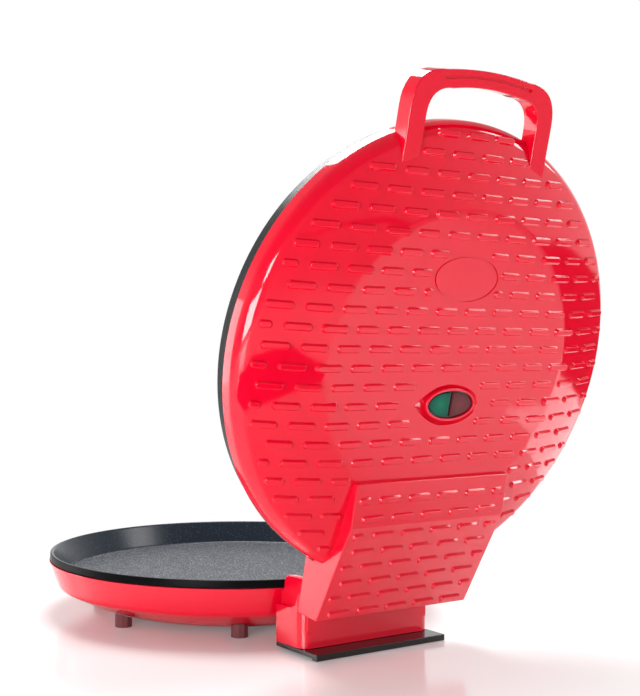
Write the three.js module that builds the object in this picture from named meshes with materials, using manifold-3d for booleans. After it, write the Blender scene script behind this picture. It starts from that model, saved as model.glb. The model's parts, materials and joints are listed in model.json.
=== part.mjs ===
// Electric pizza maker: two round heated plates in a moulded base and a hinged domed lid.
// Millimetres, +Z up. The lid stands open on its stop, as in use when food goes in.

import * as THREE from 'three';
import { mergeVertices } from 'three/addons/utils/BufferGeometryUtils.js';
import Module from 'manifold-3d';

const wasm = await Module();
wasm.setup();

// Driving dimensions: the whole cooker
const rimRadius = 160;
const rimHeight = 50;
const fit = 0.3;
const mouldedWall = 2.5;
const castWall = 2.6;
const sheetWall = 0.8;
const overrun = 6;
const roundSteps = 56;
const sheetSteps = 36;
const ovalSteps = 32;
const tubeSteps = 36;
const archSteps = 5;
const smallSteps = 10;
const hingeSteps = 12;

// Driving dimensions: the hinge
const hingeBehindRim = 25.5;
const hingeBelowRim = 4.6;
const openAngle = THREE.MathUtils.degToRad(104);
const pinRadius = 3;
const bushWall = 1.6;
const earInnerX = 51;
const earThickness = 5;
const earSkin = 1.2;
const earRadius = 10.4;
const armWidth = 12.5;
const armSideGap = 0.5;
const armRadius = 9;
const closedRimGap = 0.6;

// Driving dimensions: the base
const bandHeight = 6.3;
const bandOverhang = 0.5;
const housingLedge = 0.6;
const creaseInset = 9.6;
const creaseShare = 0.42;
const creaseRoundOut = 2.7;
const creaseRoundUp = 3;
const slopeBulge = 1;
const floorShare = 0.7125;
const floorHeight = 5;
const blockInsideRim = 8;
const blockBehindHinge = 1.5;
const blockBesideEar = 4;
const blockCornerRadius = 9;
const shoulderFrontShare = 0.44;
const shoulderRearDrop = 9.4;
const shoulderRearSetback = 10;
const columnDrop = 1.4;
const columnDepth = 7;
const saddleDrop = 12.4;
const stopDrop = 5.4;
const stopInsideArm = 1;
const stopWall = 5;
const stopFace = 3.6;
const earFrontGap = 3.7;
const wirePortWidth = 20;
const wirePortHeight = 5;
const wirePortInset = 1;

// Driving dimensions: the cooking plates
const panDepthShare = 0.382;
const panSlopeRun = 9.2;
const rimLand = 2.2;
const rimBevelOut = 0.3;
const rimBevelDrop = 1;
const upperDepth = 12;
const upperSlopeRun = 9.8;
const upperBandHeight = 14.4;
const upperBandOverhang = 3.9;
const upperSkinShare = 1.2;

// Driving dimensions: the lid
const lidHeight = 46.5;
const lidOverhang = 0.6;
const skirtDrop = 22.4;
const shoulderInset = 3.2;
const shoulderDrop = 16.9;
const domeEdgeInset = 7.5;
const domeEdgeDrop = 13.5;
const discShare = 0.65;
const discBlend = 6;
const discBlendDrop = 1.1;
const tailBesideBlock = 9.3;
const tailFrontShare = 0.5;
const tailRoofRun = 78.3;
const tailBehindHinge = 6;
const tailFrontRise = 3.7;
const tailKinkRise = 4.9;
const tailRearDrop = 18;
const tailHemHeight = 5;
const tailHemSetback = 2.5;
const tailBandGap = 1.2;
const tailHollowSetback = 15;
const locatorInset = 26.5;

// Driving dimensions: the inner cover of the tail
const innerCoverRecess = 0.1;
const innerCoverRearGap = 0.8;
const tailBossInsideEar = 21;
const tailBossAhead = 10;
const tailScrewReach = 9;

// Driving dimensions: the handle
const handleHalfWidth = 63.5;
const handleOverhang = 35.5;
const handleAboveEdge = 3.5;
const handleCrown = 4;
const handleLeg = 14;
const handleBar = 12;
const handleOuterCorner = 27;
const handleInnerCorner = 20;
const handleHalfThickness = 6.6;
const handleRound = 1;
const handleSkin = 2;

// Driving dimensions: the lamp window
const lampX = -5.5;
const lampY = 29.5;
const lampHalfLength = 20.4;
const lampHalfWidth = 9.9;
const lampLip = 1.9;
const lampDivider = 1.6;
const dishBesideLamp = 9.1;
const dishBeyondLamp = 5.1;
const dishDepth = 4.6;
const dishDrop = 3;
const lensRise = 0.5;
const lensRound = 0.6;
const lensThickness = 2.4;
const holderDepth = 5.6;
const neonRadius = 2.8;
const neonShare = 0.55;

// Driving dimensions: heating and fastening
const elementShare = 0.7;
const elementTube = 3.25;
const elementGapAngle = THREE.MathUtils.degToRad(26);
const elementPinAngle = THREE.MathUtils.degToRad(1.7);
const elementPinRadius = 1.6;
const elementPinShare = 0.337;
const elementPinInset = 0.01;
const shieldShare = 0.8;
const shieldWindow = 26;
const clipLength = 14;
const clipWidth = 8;
const clipHeight = 1.5;
const thermostatRadius = 8;
const thermostatShare = 0.43;
const fuseRadius = 2;
const fuseLength = 14;
const fuseOffset = 16;
const terminalLength = 30;
const terminalWidth = 16;
const terminalShare = 0.82;
const terminalPlaceShare = 0.375;
const screwRadius = 1.5;
const screwHeadRadius = 3.2;
const screwHeadHeight = 1.7;
const screwTaperShare = 0.75;
const screwTipGap = 0.5;
const bossWall = 1;
const bossShare = 0.457;
const studShare = 0.575;
const blockScrewInsideEar = 11;
const footShare = 0.775;
const footRadius = 6.75;
const plateThickness = 3.2;
const plateOverhang = 17.7;
const plateBarDepth = 6;
const glandBehindFront = 14;
const glandZ = 14;
const glandBore = 3.2;
const glandWall = 2;
const glandFlange = 2;
const glandRim = 1.8;

// Sizes that follow: hinge and base
const hingeY = rimRadius + hingeBehindRim;
const hingeZ = rimHeight - hingeBelowRim;
const bandRadius = rimRadius + bandOverhang;
const housingRadius = bandRadius + housingLedge;
const housingTop = rimHeight - bandHeight;
const creaseRadius = housingRadius - creaseInset;
const creaseHeight = rimHeight * creaseShare;
const floorRadius = rimRadius * floorShare;
const floorTop = floorHeight + mouldedWall;
const earOuterX = earInnerX + earThickness;
const blockHalfWidth = earOuterX + blockBesideEar;
const blockFrontY = rimRadius - blockInsideRim;
const blockRearY = hingeY + blockBehindHinge;
const shoulderFrontHeight = rimHeight * shoulderFrontShare;
const shoulderRearHeight = hingeZ - shoulderRearDrop;
const columnHeight = hingeZ - columnDrop;
const saddleHeight = hingeZ - saddleDrop;
const stopHeight = hingeZ - stopDrop;
const armInnerX = earInnerX - armSideGap - armWidth;
const stopHalfWidth = armInnerX - stopInsideArm;
const boreRadius = pinRadius + fit;
const bushRadius = boreRadius + bushWall;
const plateTop = floorHeight - fit;
const driveRadius = screwRadius + fit;
const bossRadius = screwHeadRadius + bossWall;

// Sizes that follow: cooking plates and heating
const panDepth = rimHeight * panDepthShare;
const panFloorTop = rimHeight - panDepth;
const panFloorUnder = panFloorTop - castWall;
const panFloorRadius = rimRadius - rimLand - panSlopeRun;
const upperFloorTop = upperDepth + castWall;
const upperFloorRadius = rimRadius - rimLand - upperSlopeRun;
const upperBandRadius = rimRadius + upperBandOverhang;
const elementRadius = rimRadius * elementShare;
const studRing = rimRadius * studShare;
const footRing = rimRadius * footShare;
const terminalY = rimRadius * terminalPlaceShare;
const baseRoom = panFloorUnder - floorTop;
const thermostatHeight = baseRoom * thermostatShare;
const elementPinLength = baseRoom * elementPinShare;
const bossTop = floorTop + baseRoom * bossShare;
const clipStack = 2 * elementTube + clipHeight + 2 * fit;
const shieldStack = fit + clipStack + fit / 2 + sheetWall;
const bowlSlope = (creaseRadius - floorRadius) / (creaseHeight - floorHeight);
const bowlRadiusAtShield = floorRadius - mouldedWall + bowlSlope * (panFloorUnder - shieldStack - floorTop);
const shieldRadius = Math.min(rimRadius * shieldShare, bowlRadiusAtShield - 2 * fit);

// Sizes that follow: lid and handle
const lidRadius = upperBandRadius + lidOverhang;
const skirtTop = lidHeight - skirtDrop;
const domeEdgeRadius = lidRadius - domeEdgeInset;
const domeEdgeHeight = lidHeight - domeEdgeDrop;
const discRadius = lidRadius * discShare;
const tailHalfWidth = blockHalfWidth + tailBesideBlock;
const tailRearY = hingeY + tailBehindHinge;
const tailKinkY = tailRearY - tailRoofRun;
const tailFrontY = lidRadius * tailFrontShare;
const tailFrontHeight = lidHeight + tailFrontRise;
const tailKinkHeight = lidHeight + tailKinkRise;
const tailRearHeight = lidHeight - tailRearDrop;
const handleReach = lidRadius + handleOverhang;
const handleTopHeight = domeEdgeHeight + handleAboveEdge;

// Materials: colour, roughness and metalness of each finish
function finish(color, roughness, metalness) {
  return new THREE.MeshStandardMaterial({ color, roughness, metalness });
}

const redPlastic = finish(0xe8263a, 0.18, 0);
const nonStick = finish(0x45484f, 0.5, 0.2);
const blackPlastic = finish(0x1e1b1c, 0.5, 0);
const rubber = finish(0x2a2728, 0.85, 0);
const steel = finish(0xb9bcc0, 0.3, 1);
const sheetSteel = finish(0xc9ccd0, 0.4, 1);
const elementSteel = finish(0x6c6d70, 0.45, 0.9);
const ceramic = finish(0xe9e4d8, 0.6, 0);
const greenLens = finish(0x078a6c, 0.15, 0);
const redLens = finish(0x8f4a4c, 0.15, 0);
const nylon = finish(0xdedbd2, 0.5, 0);
const lampGlass = finish(0xd8a06a, 0.2, 0);

// Geometry that shares its vertices and faces outward
function closed(geometry) {
  const bare = geometry.clone();
  bare.deleteAttribute('normal');
  bare.deleteAttribute('uv');
  const merged = mergeVertices(bare, 1e-4);
  const places = merged.attributes.position.array;
  const corners = merged.index.array;
  const kept = [];
  let volume = 0;
  for (let i = 0; i < corners.length; i += 3) {
    const [a, b, c] = [corners[i], corners[i + 1], corners[i + 2]];
    if (a !== b && b !== c && c !== a) {
      kept.push(a, b, c);
      const [p, q, r] = [a, b, c].map((k) => new THREE.Vector3().fromArray(places, 3 * k));
      volume += p.dot(q.cross(r));
    }
  }
  if (volume < 0) {
    kept.reverse();
  }
  merged.setIndex(kept);
  return merged;
}

function solid(geometry) {
  const ready = closed(geometry);
  const vertProperties = new Float32Array(ready.attributes.position.array);
  const triVerts = new Uint32Array(ready.index.array);
  return new wasm.Manifold(new wasm.Mesh({ numProp: 3, vertProperties, triVerts }));
}

function surface(body) {
  const mesh = body.getMesh();
  const geometry = new THREE.BufferGeometry();
  geometry.setAttribute('position', new THREE.BufferAttribute(mesh.vertProperties, 3));
  geometry.setIndex(new THREE.BufferAttribute(mesh.triVerts, 1));
  return geometry;
}

// A profile of [radius, height] pairs turned about the upright axis
function turned(profile, steps = roundSteps) {
  const outline = profile.map(([radius, height]) => new THREE.Vector2(radius, height));
  return new THREE.LatheGeometry(outline, steps).rotateX(Math.PI / 2);
}

// A ring profile closes on itself, because it doesn't reach the axis
function turnedRing(profile, steps = roundSteps) {
  return turned([...profile, profile[0]], steps);
}

function asShape(outline) {
  if (outline instanceof THREE.Shape) {
    return outline;
  }
  return new THREE.Shape(outline.map((point) => new THREE.Vector2(...point)));
}

// An outline in x and y, raised from one height to another
function upright(outline, fromZ, toZ, round = 0) {
  const settings = {
    depth: toZ - fromZ - 2 * round,
    curveSegments: smallSteps / 2,
    bevelEnabled: round > 0,
    bevelThickness: round,
    bevelSize: round,
    bevelOffset: -round,
    bevelSegments: 2,
  };
  return new THREE.ExtrudeGeometry(asShape(outline), settings).translate(0, 0, fromZ + round);
}

// An outline in y and z, drawn out from one side to the other
function crosswise(outline, fromX, toX) {
  const settings = { depth: toX - fromX, curveSegments: smallSteps, bevelEnabled: false };
  const basis = new THREE.Matrix4().makeBasis(
    new THREE.Vector3(0, 1, 0),
    new THREE.Vector3(0, 0, 1),
    new THREE.Vector3(1, 0, 0),
  );
  return new THREE.ExtrudeGeometry(asShape(outline), settings).applyMatrix4(basis).translate(fromX, 0, 0);
}

function rod(radius, fromZ, toZ, x = 0, y = 0, steps = smallSteps) {
  const geometry = new THREE.CylinderGeometry(radius, radius, toZ - fromZ, steps);
  return geometry.rotateX(Math.PI / 2).translate(x, y, (fromZ + toZ) / 2);
}

function rodAcross(radius, fromX, toX, y, z) {
  const geometry = new THREE.CylinderGeometry(radius, radius, toX - fromX, hingeSteps);
  return geometry.rotateZ(Math.PI / 2).translate((fromX + toX) / 2, y, z);
}

function rodAlong(radius, fromY, toY, x, z) {
  const geometry = new THREE.CylinderGeometry(radius, radius, toY - fromY, smallSteps);
  return geometry.translate(x, (fromY + toY) / 2, z);
}

function box(fromX, toX, fromY, toY, fromZ, toZ) {
  const geometry = new THREE.BoxGeometry(toX - fromX, toY - fromY, toZ - fromZ);
  return geometry.translate((fromX + toX) / 2, (fromY + toY) / 2, (fromZ + toZ) / 2);
}

function oval(halfLength, halfWidth, x, y) {
  const outline = [];
  for (let step = 0; step < ovalSteps; step += 1) {
    const angle = (2 * Math.PI * step) / ovalSteps;
    outline.push([x + halfLength * Math.cos(angle), y + halfWidth * Math.sin(angle)]);
  }
  return outline;
}

function join(first, ...others) {
  return others.reduce((body, other) => body.add(solid(other)), solid(first));
}

function cut(body, ...tools) {
  return tools.reduce((rest, tool) => rest.subtract(solid(tool)), body);
}

function add(parent, name, geometry, material) {
  const mesh = new THREE.Mesh(geometry, material);
  mesh.name = name;
  parent.add(mesh);
}

function onRing(radius, angle) {
  return [radius * Math.cos(angle), radius * Math.sin(angle)];
}

function quarterTurns(start) {
  return [0, 1, 2, 3].map((turn) => start + (turn * Math.PI) / 2);
}

// A pan-head screw that points up from the seat of its head
function screwUp(x, y, seatZ, length) {
  const profile = [
    [0, seatZ - screwHeadHeight],
    [screwHeadRadius * screwTaperShare, seatZ - screwHeadHeight],
    [screwHeadRadius, seatZ - screwHeadHeight / 2],
    [screwHeadRadius, seatZ],
    [screwRadius, seatZ],
    [screwRadius, seatZ + length - screwRadius],
    [0, seatZ + length],
  ];
  return closed(turned(profile, smallSteps).translate(x, y, 0));
}

// Where a point beside the hinge axis lies with the lid shut, given its place with the lid open
function shutPlace(behind, above) {
  const y = behind * Math.cos(openAngle) - above * Math.sin(openAngle);
  const z = behind * Math.sin(openAngle) + above * Math.cos(openAngle);
  return [y, z];
}

// Base: everything that stands still
const base = new THREE.Group();

const housingOutline = [
  [floorRadius, floorHeight],
  [(floorRadius + creaseRadius) / 2, (floorHeight + creaseHeight) / 2 - slopeBulge],
  [creaseRadius, creaseHeight],
  [creaseRadius + creaseRoundOut, creaseHeight + creaseRoundUp],
  [housingRadius, housingTop],
];

// The room inside the bowl, one wall in from its outline
function bowlRoom() {
  const outerPoints = housingOutline.slice(0, -1);
  const wallPoints = outerPoints.map(([radius, height]) => [radius - mouldedWall, height + mouldedWall]);
  return [[0, floorTop], ...wallPoints, [housingRadius - mouldedWall, housingTop], [0, housingTop]];
}

// The hinge block behind the bowl, hollow and open below
function hingeBlock() {
  const shoulderRearY = blockRearY - shoulderRearSetback;
  const columnFrontY = blockRearY - columnDepth;
  const saddle = [
    [blockFrontY, floorHeight],
    [blockRearY, floorHeight],
    [blockRearY, saddleHeight],
    [blockFrontY, saddleHeight],
  ];
  const cheek = [
    [blockFrontY, floorHeight],
    [blockRearY, floorHeight],
    [blockRearY, columnHeight],
    [columnFrontY, columnHeight],
    [shoulderRearY, shoulderRearHeight],
    [blockFrontY, shoulderFrontHeight],
  ];
  const stop = [
    [blockRearY - stopWall, floorHeight],
    [blockRearY, floorHeight],
    [blockRearY, stopHeight],
    [blockRearY - stopWall, stopHeight],
  ];
  const roomFrontY = blockFrontY + mouldedWall;
  const roomRearY = blockRearY - mouldedWall;
  const roomTop = saddleHeight - mouldedWall;
  const wideRoom = [
    [roomFrontY, floorHeight - overrun],
    [roomRearY, floorHeight - overrun],
    [roomRearY, roomTop],
    [shoulderRearY, roomTop],
    [roomFrontY, shoulderFrontHeight - mouldedWall],
  ];
  const middleRoom = box(mouldedWall - earInnerX, earInnerX - mouldedWall, roomFrontY, roomRearY,
    floorHeight - overrun, roomTop);
  const plan = new THREE.Shape();
  plan.moveTo(-blockHalfWidth, blockFrontY);
  plan.lineTo(blockHalfWidth, blockFrontY);
  plan.lineTo(blockHalfWidth, blockRearY - blockCornerRadius);
  const bend = [blockHalfWidth - blockCornerRadius, blockRearY - blockCornerRadius];
  plan.absarc(bend[0], bend[1], blockCornerRadius, 0, Math.PI / 2);
  plan.absarc(-bend[0], bend[1], blockCornerRadius, Math.PI / 2, Math.PI);
  const rough = join(
    crosswise(saddle, -earInnerX, earInnerX),
    crosswise(cheek, earInnerX, blockHalfWidth),
    crosswise(cheek, -blockHalfWidth, -earInnerX),
    crosswise(stop, -stopHalfWidth, stopHalfWidth),
  );
  const rounded = rough.intersect(solid(upright(plan, floorHeight, columnHeight)));
  const innerX = blockHalfWidth - blockCornerRadius / 2;
  return cut(rounded, crosswise(wideRoom, -innerX, innerX), middleRoom);
}

// One ear: a cheek that rises from the bowl's wall and rounds over the hinge pin
function ear(side) {
  const shape = new THREE.Shape();
  const frontY = Math.sqrt(bandRadius ** 2 - earInnerX ** 2) + earFrontGap;
  const topZ = hingeZ + earRadius;
  shape.moveTo(blockFrontY, shoulderFrontHeight - overrun);
  shape.lineTo(blockFrontY, housingTop);
  shape.lineTo(frontY, housingTop);
  shape.quadraticCurveTo(frontY + earFrontGap / 2, topZ, hingeY - earRadius, topZ);
  shape.lineTo(hingeY, topZ);
  shape.absarc(hingeY, hingeZ, earRadius, Math.PI / 2, -Math.PI / 4, true);
  shape.lineTo(blockRearY, stopHeight - earRadius);
  shape.lineTo(blockRearY, shoulderFrontHeight - overrun);
  const from = side > 0 ? earInnerX : -earOuterX;
  return crosswise(shape, from, from + earThickness);
}

const screwSeats = quarterTurns(Math.PI / 4).map((angle) => onRing(studRing, angle));
const bossSeat = floorHeight + screwHeadHeight + 2 * fit + mouldedWall / 2;
const blockScrewX = earInnerX - blockScrewInsideEar;
const blockScrewY = (blockFrontY + blockRearY) / 2;
const blockBossTop = shoulderFrontHeight;
const glandY = blockFrontY + glandBehindFront;
const glandHole = glandBore + glandWall + fit;

function baseHousing() {
  const block = hingeBlock();
  const bossEnd = saddleHeight - mouldedWall / 2;
  const bossXs = [-blockScrewX, blockScrewX];
  const bosses = bossXs.map((x) => rod(bossRadius, floorHeight, bossEnd, x, blockScrewY));
  const outer = solid(turned([[0, floorHeight], ...housingOutline, [0, housingTop]]));
  let body = block.add(outer);
  for (const piece of [...bosses, ear(1), ear(-1)]) {
    body = body.add(solid(piece));
  }
  body = cut(body, turned(bowlRoom()));
  body = cut(body, rod(bandRadius + fit, housingTop, rimHeight + overrun * 2, 0, 0, roundSteps));
  for (const [x, y] of screwSeats) {
    body = body.add(solid(rod(bossRadius, floorHeight + mouldedWall / 2, bossTop, x, y)));
    body = cut(body, rod(screwHeadRadius + fit, floorHeight - overrun, bossSeat, x, y));
    body = cut(body, rod(driveRadius, floorHeight, bossTop + overrun, x, y));
  }
  for (const side of [-1, 1]) {
    body = cut(body, rod(driveRadius, floorHeight - overrun, blockBossTop, side * blockScrewX, blockScrewY));
    const inner = side * (earInnerX - overrun);
    const blind = side * (earOuterX - earSkin);
    body = cut(body, rodAcross(boreRadius, Math.min(inner, blind), Math.max(inner, blind), hingeY, hingeZ));
  }
  const portZ = creaseHeight + wirePortHeight / 2;
  const portRear = housingRadius - wirePortInset;
  const port = box(-wirePortWidth / 2, wirePortWidth / 2, blockFrontY - overrun, portRear,
    portZ - wirePortHeight / 2, portZ + wirePortHeight / 2);
  body = cut(body, port);
  const cheekX = -blockHalfWidth;
  body = cut(body, rodAcross(glandHole, cheekX - overrun, cheekX + 2 * mouldedWall + fit, glandY, glandZ));
  return surface(body);
}

add(base, 'base_housing', baseHousing(), redPlastic);

// Lower plate: a deep cast pan whose rim hangs over the housing's lip as a dark band
function lowerPlate() {
  const slope = (rimRadius - rimLand - panFloorRadius) / panDepth;
  const outerOffset = castWall * Math.sqrt(1 + slope ** 2);
  const bandBottom = housingTop + fit;
  const wallAt = (height) => panFloorRadius + slope * (height - panFloorTop) + outerOffset;
  const profile = [
    [0, panFloorUnder],
    [wallAt(panFloorUnder), panFloorUnder],
    [wallAt(bandBottom), bandBottom],
    [bandRadius, bandBottom],
    [rimRadius + rimBevelOut, rimHeight - rimBevelDrop],
    [rimRadius, rimHeight],
    [rimRadius - rimLand, rimHeight],
    [panFloorRadius, panFloorTop],
    [0, panFloorTop],
  ];
  let body = solid(turned(profile));
  for (const [x, y] of screwSeats) {
    body = body.add(solid(rod(bossRadius, bossTop + fit, panFloorUnder + castWall / 2, x, y)));
    body = cut(body, rod(driveRadius, bossTop, panFloorUnder - fit, x, y));
  }
  return surface(body);
}

add(base, 'lower_plate', lowerPlate(), nonStick);

// Heating ring: one bent tube, open at the rear, with a cold pin at each end
class RingPath extends THREE.Curve {
  constructor(height) {
    super();
    this.height = height;
  }

  getPoint(share, target = new THREE.Vector3()) {
    const start = Math.PI / 2 + elementGapAngle / 2;
    const angle = start + share * (2 * Math.PI - elementGapAngle);
    const [x, y] = onRing(elementRadius, angle);
    return target.set(x, y, this.height);
  }
}

const pinTurn = elementGapAngle / 2 + elementPinAngle;
const pinRing = elementRadius - elementPinInset;
const pinPlaces = [-pinTurn, pinTurn].map((turn) => onRing(pinRing, Math.PI / 2 + turn));

function heatingRing(axisZ, pinDirection) {
  const section = new THREE.Shape().absarc(0, 0, elementTube, 0, 2 * Math.PI);
  const path = new RingPath(axisZ);
  const tube = new THREE.ExtrudeGeometry(section, { steps: tubeSteps, curveSegments: 3, extrudePath: path });
  let body = solid(tube);
  for (const [x, y] of pinPlaces) {
    const tip = axisZ + pinDirection * (elementTube + elementPinLength);
    body = body.add(solid(rod(elementPinRadius, Math.min(axisZ, tip), Math.max(axisZ, tip), x, y, 8)));
  }
  return surface(body);
}

const lowerElementZ = panFloorUnder - fit - elementTube;
add(base, 'lower_heating_element', heatingRing(lowerElementZ, -1), elementSteel);

// Heat shield: a sheet dish with a window for the thermostat and holes for the studs and pins
function heatShield(openZ, deepZ, studs) {
  const sheet = Math.sign(openZ - deepZ) * sheetWall;
  const profile = [
    [shieldWindow, deepZ],
    [shieldRadius, deepZ],
    [shieldRadius, openZ],
    [shieldRadius - sheetWall, openZ],
    [shieldRadius - sheetWall, deepZ + sheet],
    [shieldWindow, deepZ + sheet],
  ];
  const low = Math.min(openZ, deepZ) - overrun;
  const high = Math.max(openZ, deepZ) + overrun;
  let body = solid(turnedRing(profile, sheetSteps));
  for (const [x, y] of studs) {
    body = cut(body, rod(bossRadius + 2 * fit, low, high, x, y));
  }
  for (const [x, y] of pinPlaces) {
    body = cut(body, rod(elementPinRadius * 2, low, high, x, y));
  }
  return surface(body);
}

const lowerShieldDeep = panFloorUnder - shieldStack;
add(base, 'lower_heat_shield', heatShield(panFloorUnder - fit, lowerShieldDeep, screwSeats), sheetSteel);

const clipAngles = [0, 1, 2].map((turn) => -Math.PI / 2 + (turn * 2 * Math.PI) / 3);

function elementClips(parent, label, fromZ) {
  clipAngles.forEach((angle, index) => {
    const [halfLength, halfWidth] = [clipLength / 2, clipWidth / 2];
    const strap = box(-halfLength, halfLength, -halfWidth, halfWidth, fromZ, fromZ + clipHeight);
    strap.rotateZ(angle);
    const [x, y] = onRing(elementRadius, angle);
    add(parent, `${label}_element_clip_${index + 1}`, closed(strap.translate(x, y, 0)), sheetSteel);
  });
}

elementClips(base, 'lower', lowerElementZ - elementTube - fit - clipHeight);

// Thermostat: a ceramic button with two flat tags, held against the plate
function thermostat(faceZ, direction) {
  const spread = thermostatRadius / 2;
  const ends = [faceZ, faceZ + direction * thermostatHeight];
  const tagEnd = ends[1] + direction * thermostatHeight / 3;
  let body = solid(rod(thermostatRadius, Math.min(...ends), Math.max(...ends)));
  for (const side of [-1, 1]) {
    const [low, high] = [ends[1] - direction * sheetWall, tagEnd].sort((a, b) => a - b);
    const fromX = side * spread - sheetWall / 2;
    const tag = box(fromX, fromX + sheetWall, -spread / 2, spread / 2, low, high);
    body = body.add(solid(tag));
  }
  return surface(body);
}

add(base, 'lower_thermostat', thermostat(panFloorUnder - fit, -1), ceramic);
const fuseZ = panFloorUnder - fit - fuseRadius;
const fuse = rodAlong(fuseRadius, -fuseLength / 2, fuseLength / 2, fuseOffset, fuseZ);
add(base, 'thermal_fuse', closed(fuse), steel);

// Terminal block: a ceramic bar on the housing's floor with three wire holes
function terminalBlock() {
  const bottom = floorTop + fit;
  const height = (lowerShieldDeep - floorTop) * terminalShare;
  const pitch = terminalLength / 3;
  let body = solid(box(-terminalLength / 2, terminalLength / 2, terminalY - terminalWidth / 2,
    terminalY + terminalWidth / 2, bottom, bottom + height));
  const reach = terminalWidth / 2 + overrun;
  const middleZ = bottom + height / 2;
  for (const x of [-pitch, 0, pitch]) {
    body = cut(body, rodAlong(pitch / 5, terminalY - reach, terminalY + reach, x, middleZ));
  }
  return surface(body);
}

add(base, 'terminal_block', terminalBlock(), ceramic);

// Feet: rubber stubs under the slope of the bowl, cut to its surface
const footAngleShares = [11 / 180, 59 / 180, 121 / 180, 169 / 180, 225 / 180, 315 / 180];
const footTool = solid(turned([
  [0, floorHeight - fit],
  ...housingOutline.map(([radius, height]) => [radius + fit / 4, height - fit]),
  [0, housingTop],
]));
const footNames = ['right', 'rear_right', 'rear_left', 'left', 'front_left', 'front_right'];
footNames.forEach((name, index) => {
  const [x, y] = onRing(footRing, footAngleShares[index] * Math.PI);
  const body = solid(rod(footRadius, 0, creaseHeight, x, y)).subtract(footTool);
  add(base, `foot_${name}`, surface(body), rubber);
});

// Rear foot plate: closes the block from below and reaches back as a bar on the table
function rearFootPlate() {
  const rearY = blockRearY + plateOverhang;
  const bottom = plateTop - plateThickness;
  let body = join(
    box(-blockHalfWidth, blockHalfWidth, blockFrontY, rearY, bottom, plateTop),
    box(-blockHalfWidth, blockHalfWidth, rearY - plateBarDepth, rearY, 0, plateTop),
  );
  for (const side of [-1, 1]) {
    const x = side * blockScrewX;
    body = cut(body, rod(driveRadius, bottom - overrun, plateTop + overrun, x, blockScrewY));
    body = cut(body, rod(screwHeadRadius + fit, bottom - overrun, bottom + screwHeadHeight, x, blockScrewY));
  }
  return surface(body);
}

add(base, 'rear_foot_plate', rearFootPlate(), blackPlastic);

// Screws under the base
const plateSeat = plateTop - plateThickness + screwHeadHeight - fit;
for (const [side, name] of [[1, 'right'], [-1, 'left']]) {
  const length = blockBossTop - plateSeat - 2 * screwRadius;
  add(base, `foot_plate_screw_${name}`, screwUp(side * blockScrewX, blockScrewY, plateSeat, length), steel);
}
screwSeats.forEach(([x, y], index) => {
  const length = panFloorUnder - bossSeat - 2 * fit - screwRadius;
  add(base, `base_screw_${index + 1}`, screwUp(x, y, bossSeat - fit, length), steel);
});

// Cord gland: a flanged bush in the left cheek of the block
function cordGland() {
  const outer = glandBore + glandWall;
  const faceX = blockHalfWidth + fit;
  const profile = [
    [glandBore, blockHalfWidth - mouldedWall * 2],
    [outer, blockHalfWidth - mouldedWall * 2],
    [outer, faceX],
    [outer + glandRim, faceX],
    [outer + glandRim, faceX + glandFlange],
    [glandBore, faceX + glandFlange],
  ];
  return closed(turnedRing(profile, hingeSteps).rotateY(-Math.PI / 2).translate(0, glandY, glandZ));
}

add(base, 'cord_gland', cordGland(), blackPlastic);

// Hinge pins: steel, seated in blind bores of the ears
for (const [side, name] of [[1, 'right'], [-1, 'left']]) {
  const ends = [side * armInnerX, side * (earOuterX - earSkin - fit)].sort((a, b) => a - b);
  add(base, `hinge_pin_${name}`, closed(rodAcross(pinRadius, ends[0], ends[1], hingeY, hingeZ)), steel);
}

// Lid: drawn shut, with heights above the mating plane, then turned open about the hinge
const hinge = new THREE.Group();
hinge.position.set(0, hingeY, hingeZ);
hinge.rotation.x = -openAngle;
const lid = new THREE.Group();
lid.position.set(0, -hingeY, hingeBelowRim);
hinge.add(lid);

const axisHeight = -hingeBelowRim;

// Points of the dome's outline, and the shares of the wall by which the inner face stands in and down
const domePoints = [
  [lidRadius, skirtTop],
  [lidRadius - shoulderInset, lidHeight - shoulderDrop],
  [domeEdgeRadius, domeEdgeHeight],
  [discRadius + discBlend, lidHeight - discBlendDrop],
  [discRadius - discBlend, lidHeight],
];
const inwardShares = [1, 0.9, 0.5, 0.2, 0];
const downwardShares = [0.2, 0.6, 1, 1, 1];

function dome(inset, bottom) {
  const outline = domePoints.map(([radius, height], index) => [
    radius - inset * inwardShares[index],
    height - inset * downwardShares[index],
  ]);
  return [[0, bottom], [lidRadius - inset, bottom], ...outline, [0, lidHeight - inset]];
}

// The tail seen from the side: its roof falls to the rear from a kink
const roofFall = (tailKinkHeight - tailRearHeight) / (tailRearY - tailKinkY);

function roofAt(y) {
  return tailKinkHeight - roofFall * (y - tailKinkY);
}

const tailOutline = [
  [tailFrontY, tailKinkHeight / 2],
  [tailFrontY, tailFrontHeight],
  [tailKinkY, tailKinkHeight],
  [tailRearY, tailRearHeight],
  [tailRearY + tailHemSetback, tailHemHeight],
];

// The room inside the tail, which stays under the dome's disc at the front
function tailRoom() {
  const frontY = tailFrontY + tailHollowSetback;
  const rearY = tailRearY - mouldedWall;
  const ceiling = lidHeight - mouldedWall;
  const roofInset = mouldedWall * Math.sqrt(1 + roofFall ** 2);
  return [
    [frontY, ceiling],
    [tailKinkY + (tailKinkHeight - roofInset - ceiling) / roofFall, ceiling],
    [rearY, roofAt(rearY) - roofInset],
    [rearY + tailHemSetback, tailHemHeight],
    [rearY + tailHemSetback, -overrun],
    [frontY, -overrun],
  ];
}

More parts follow.
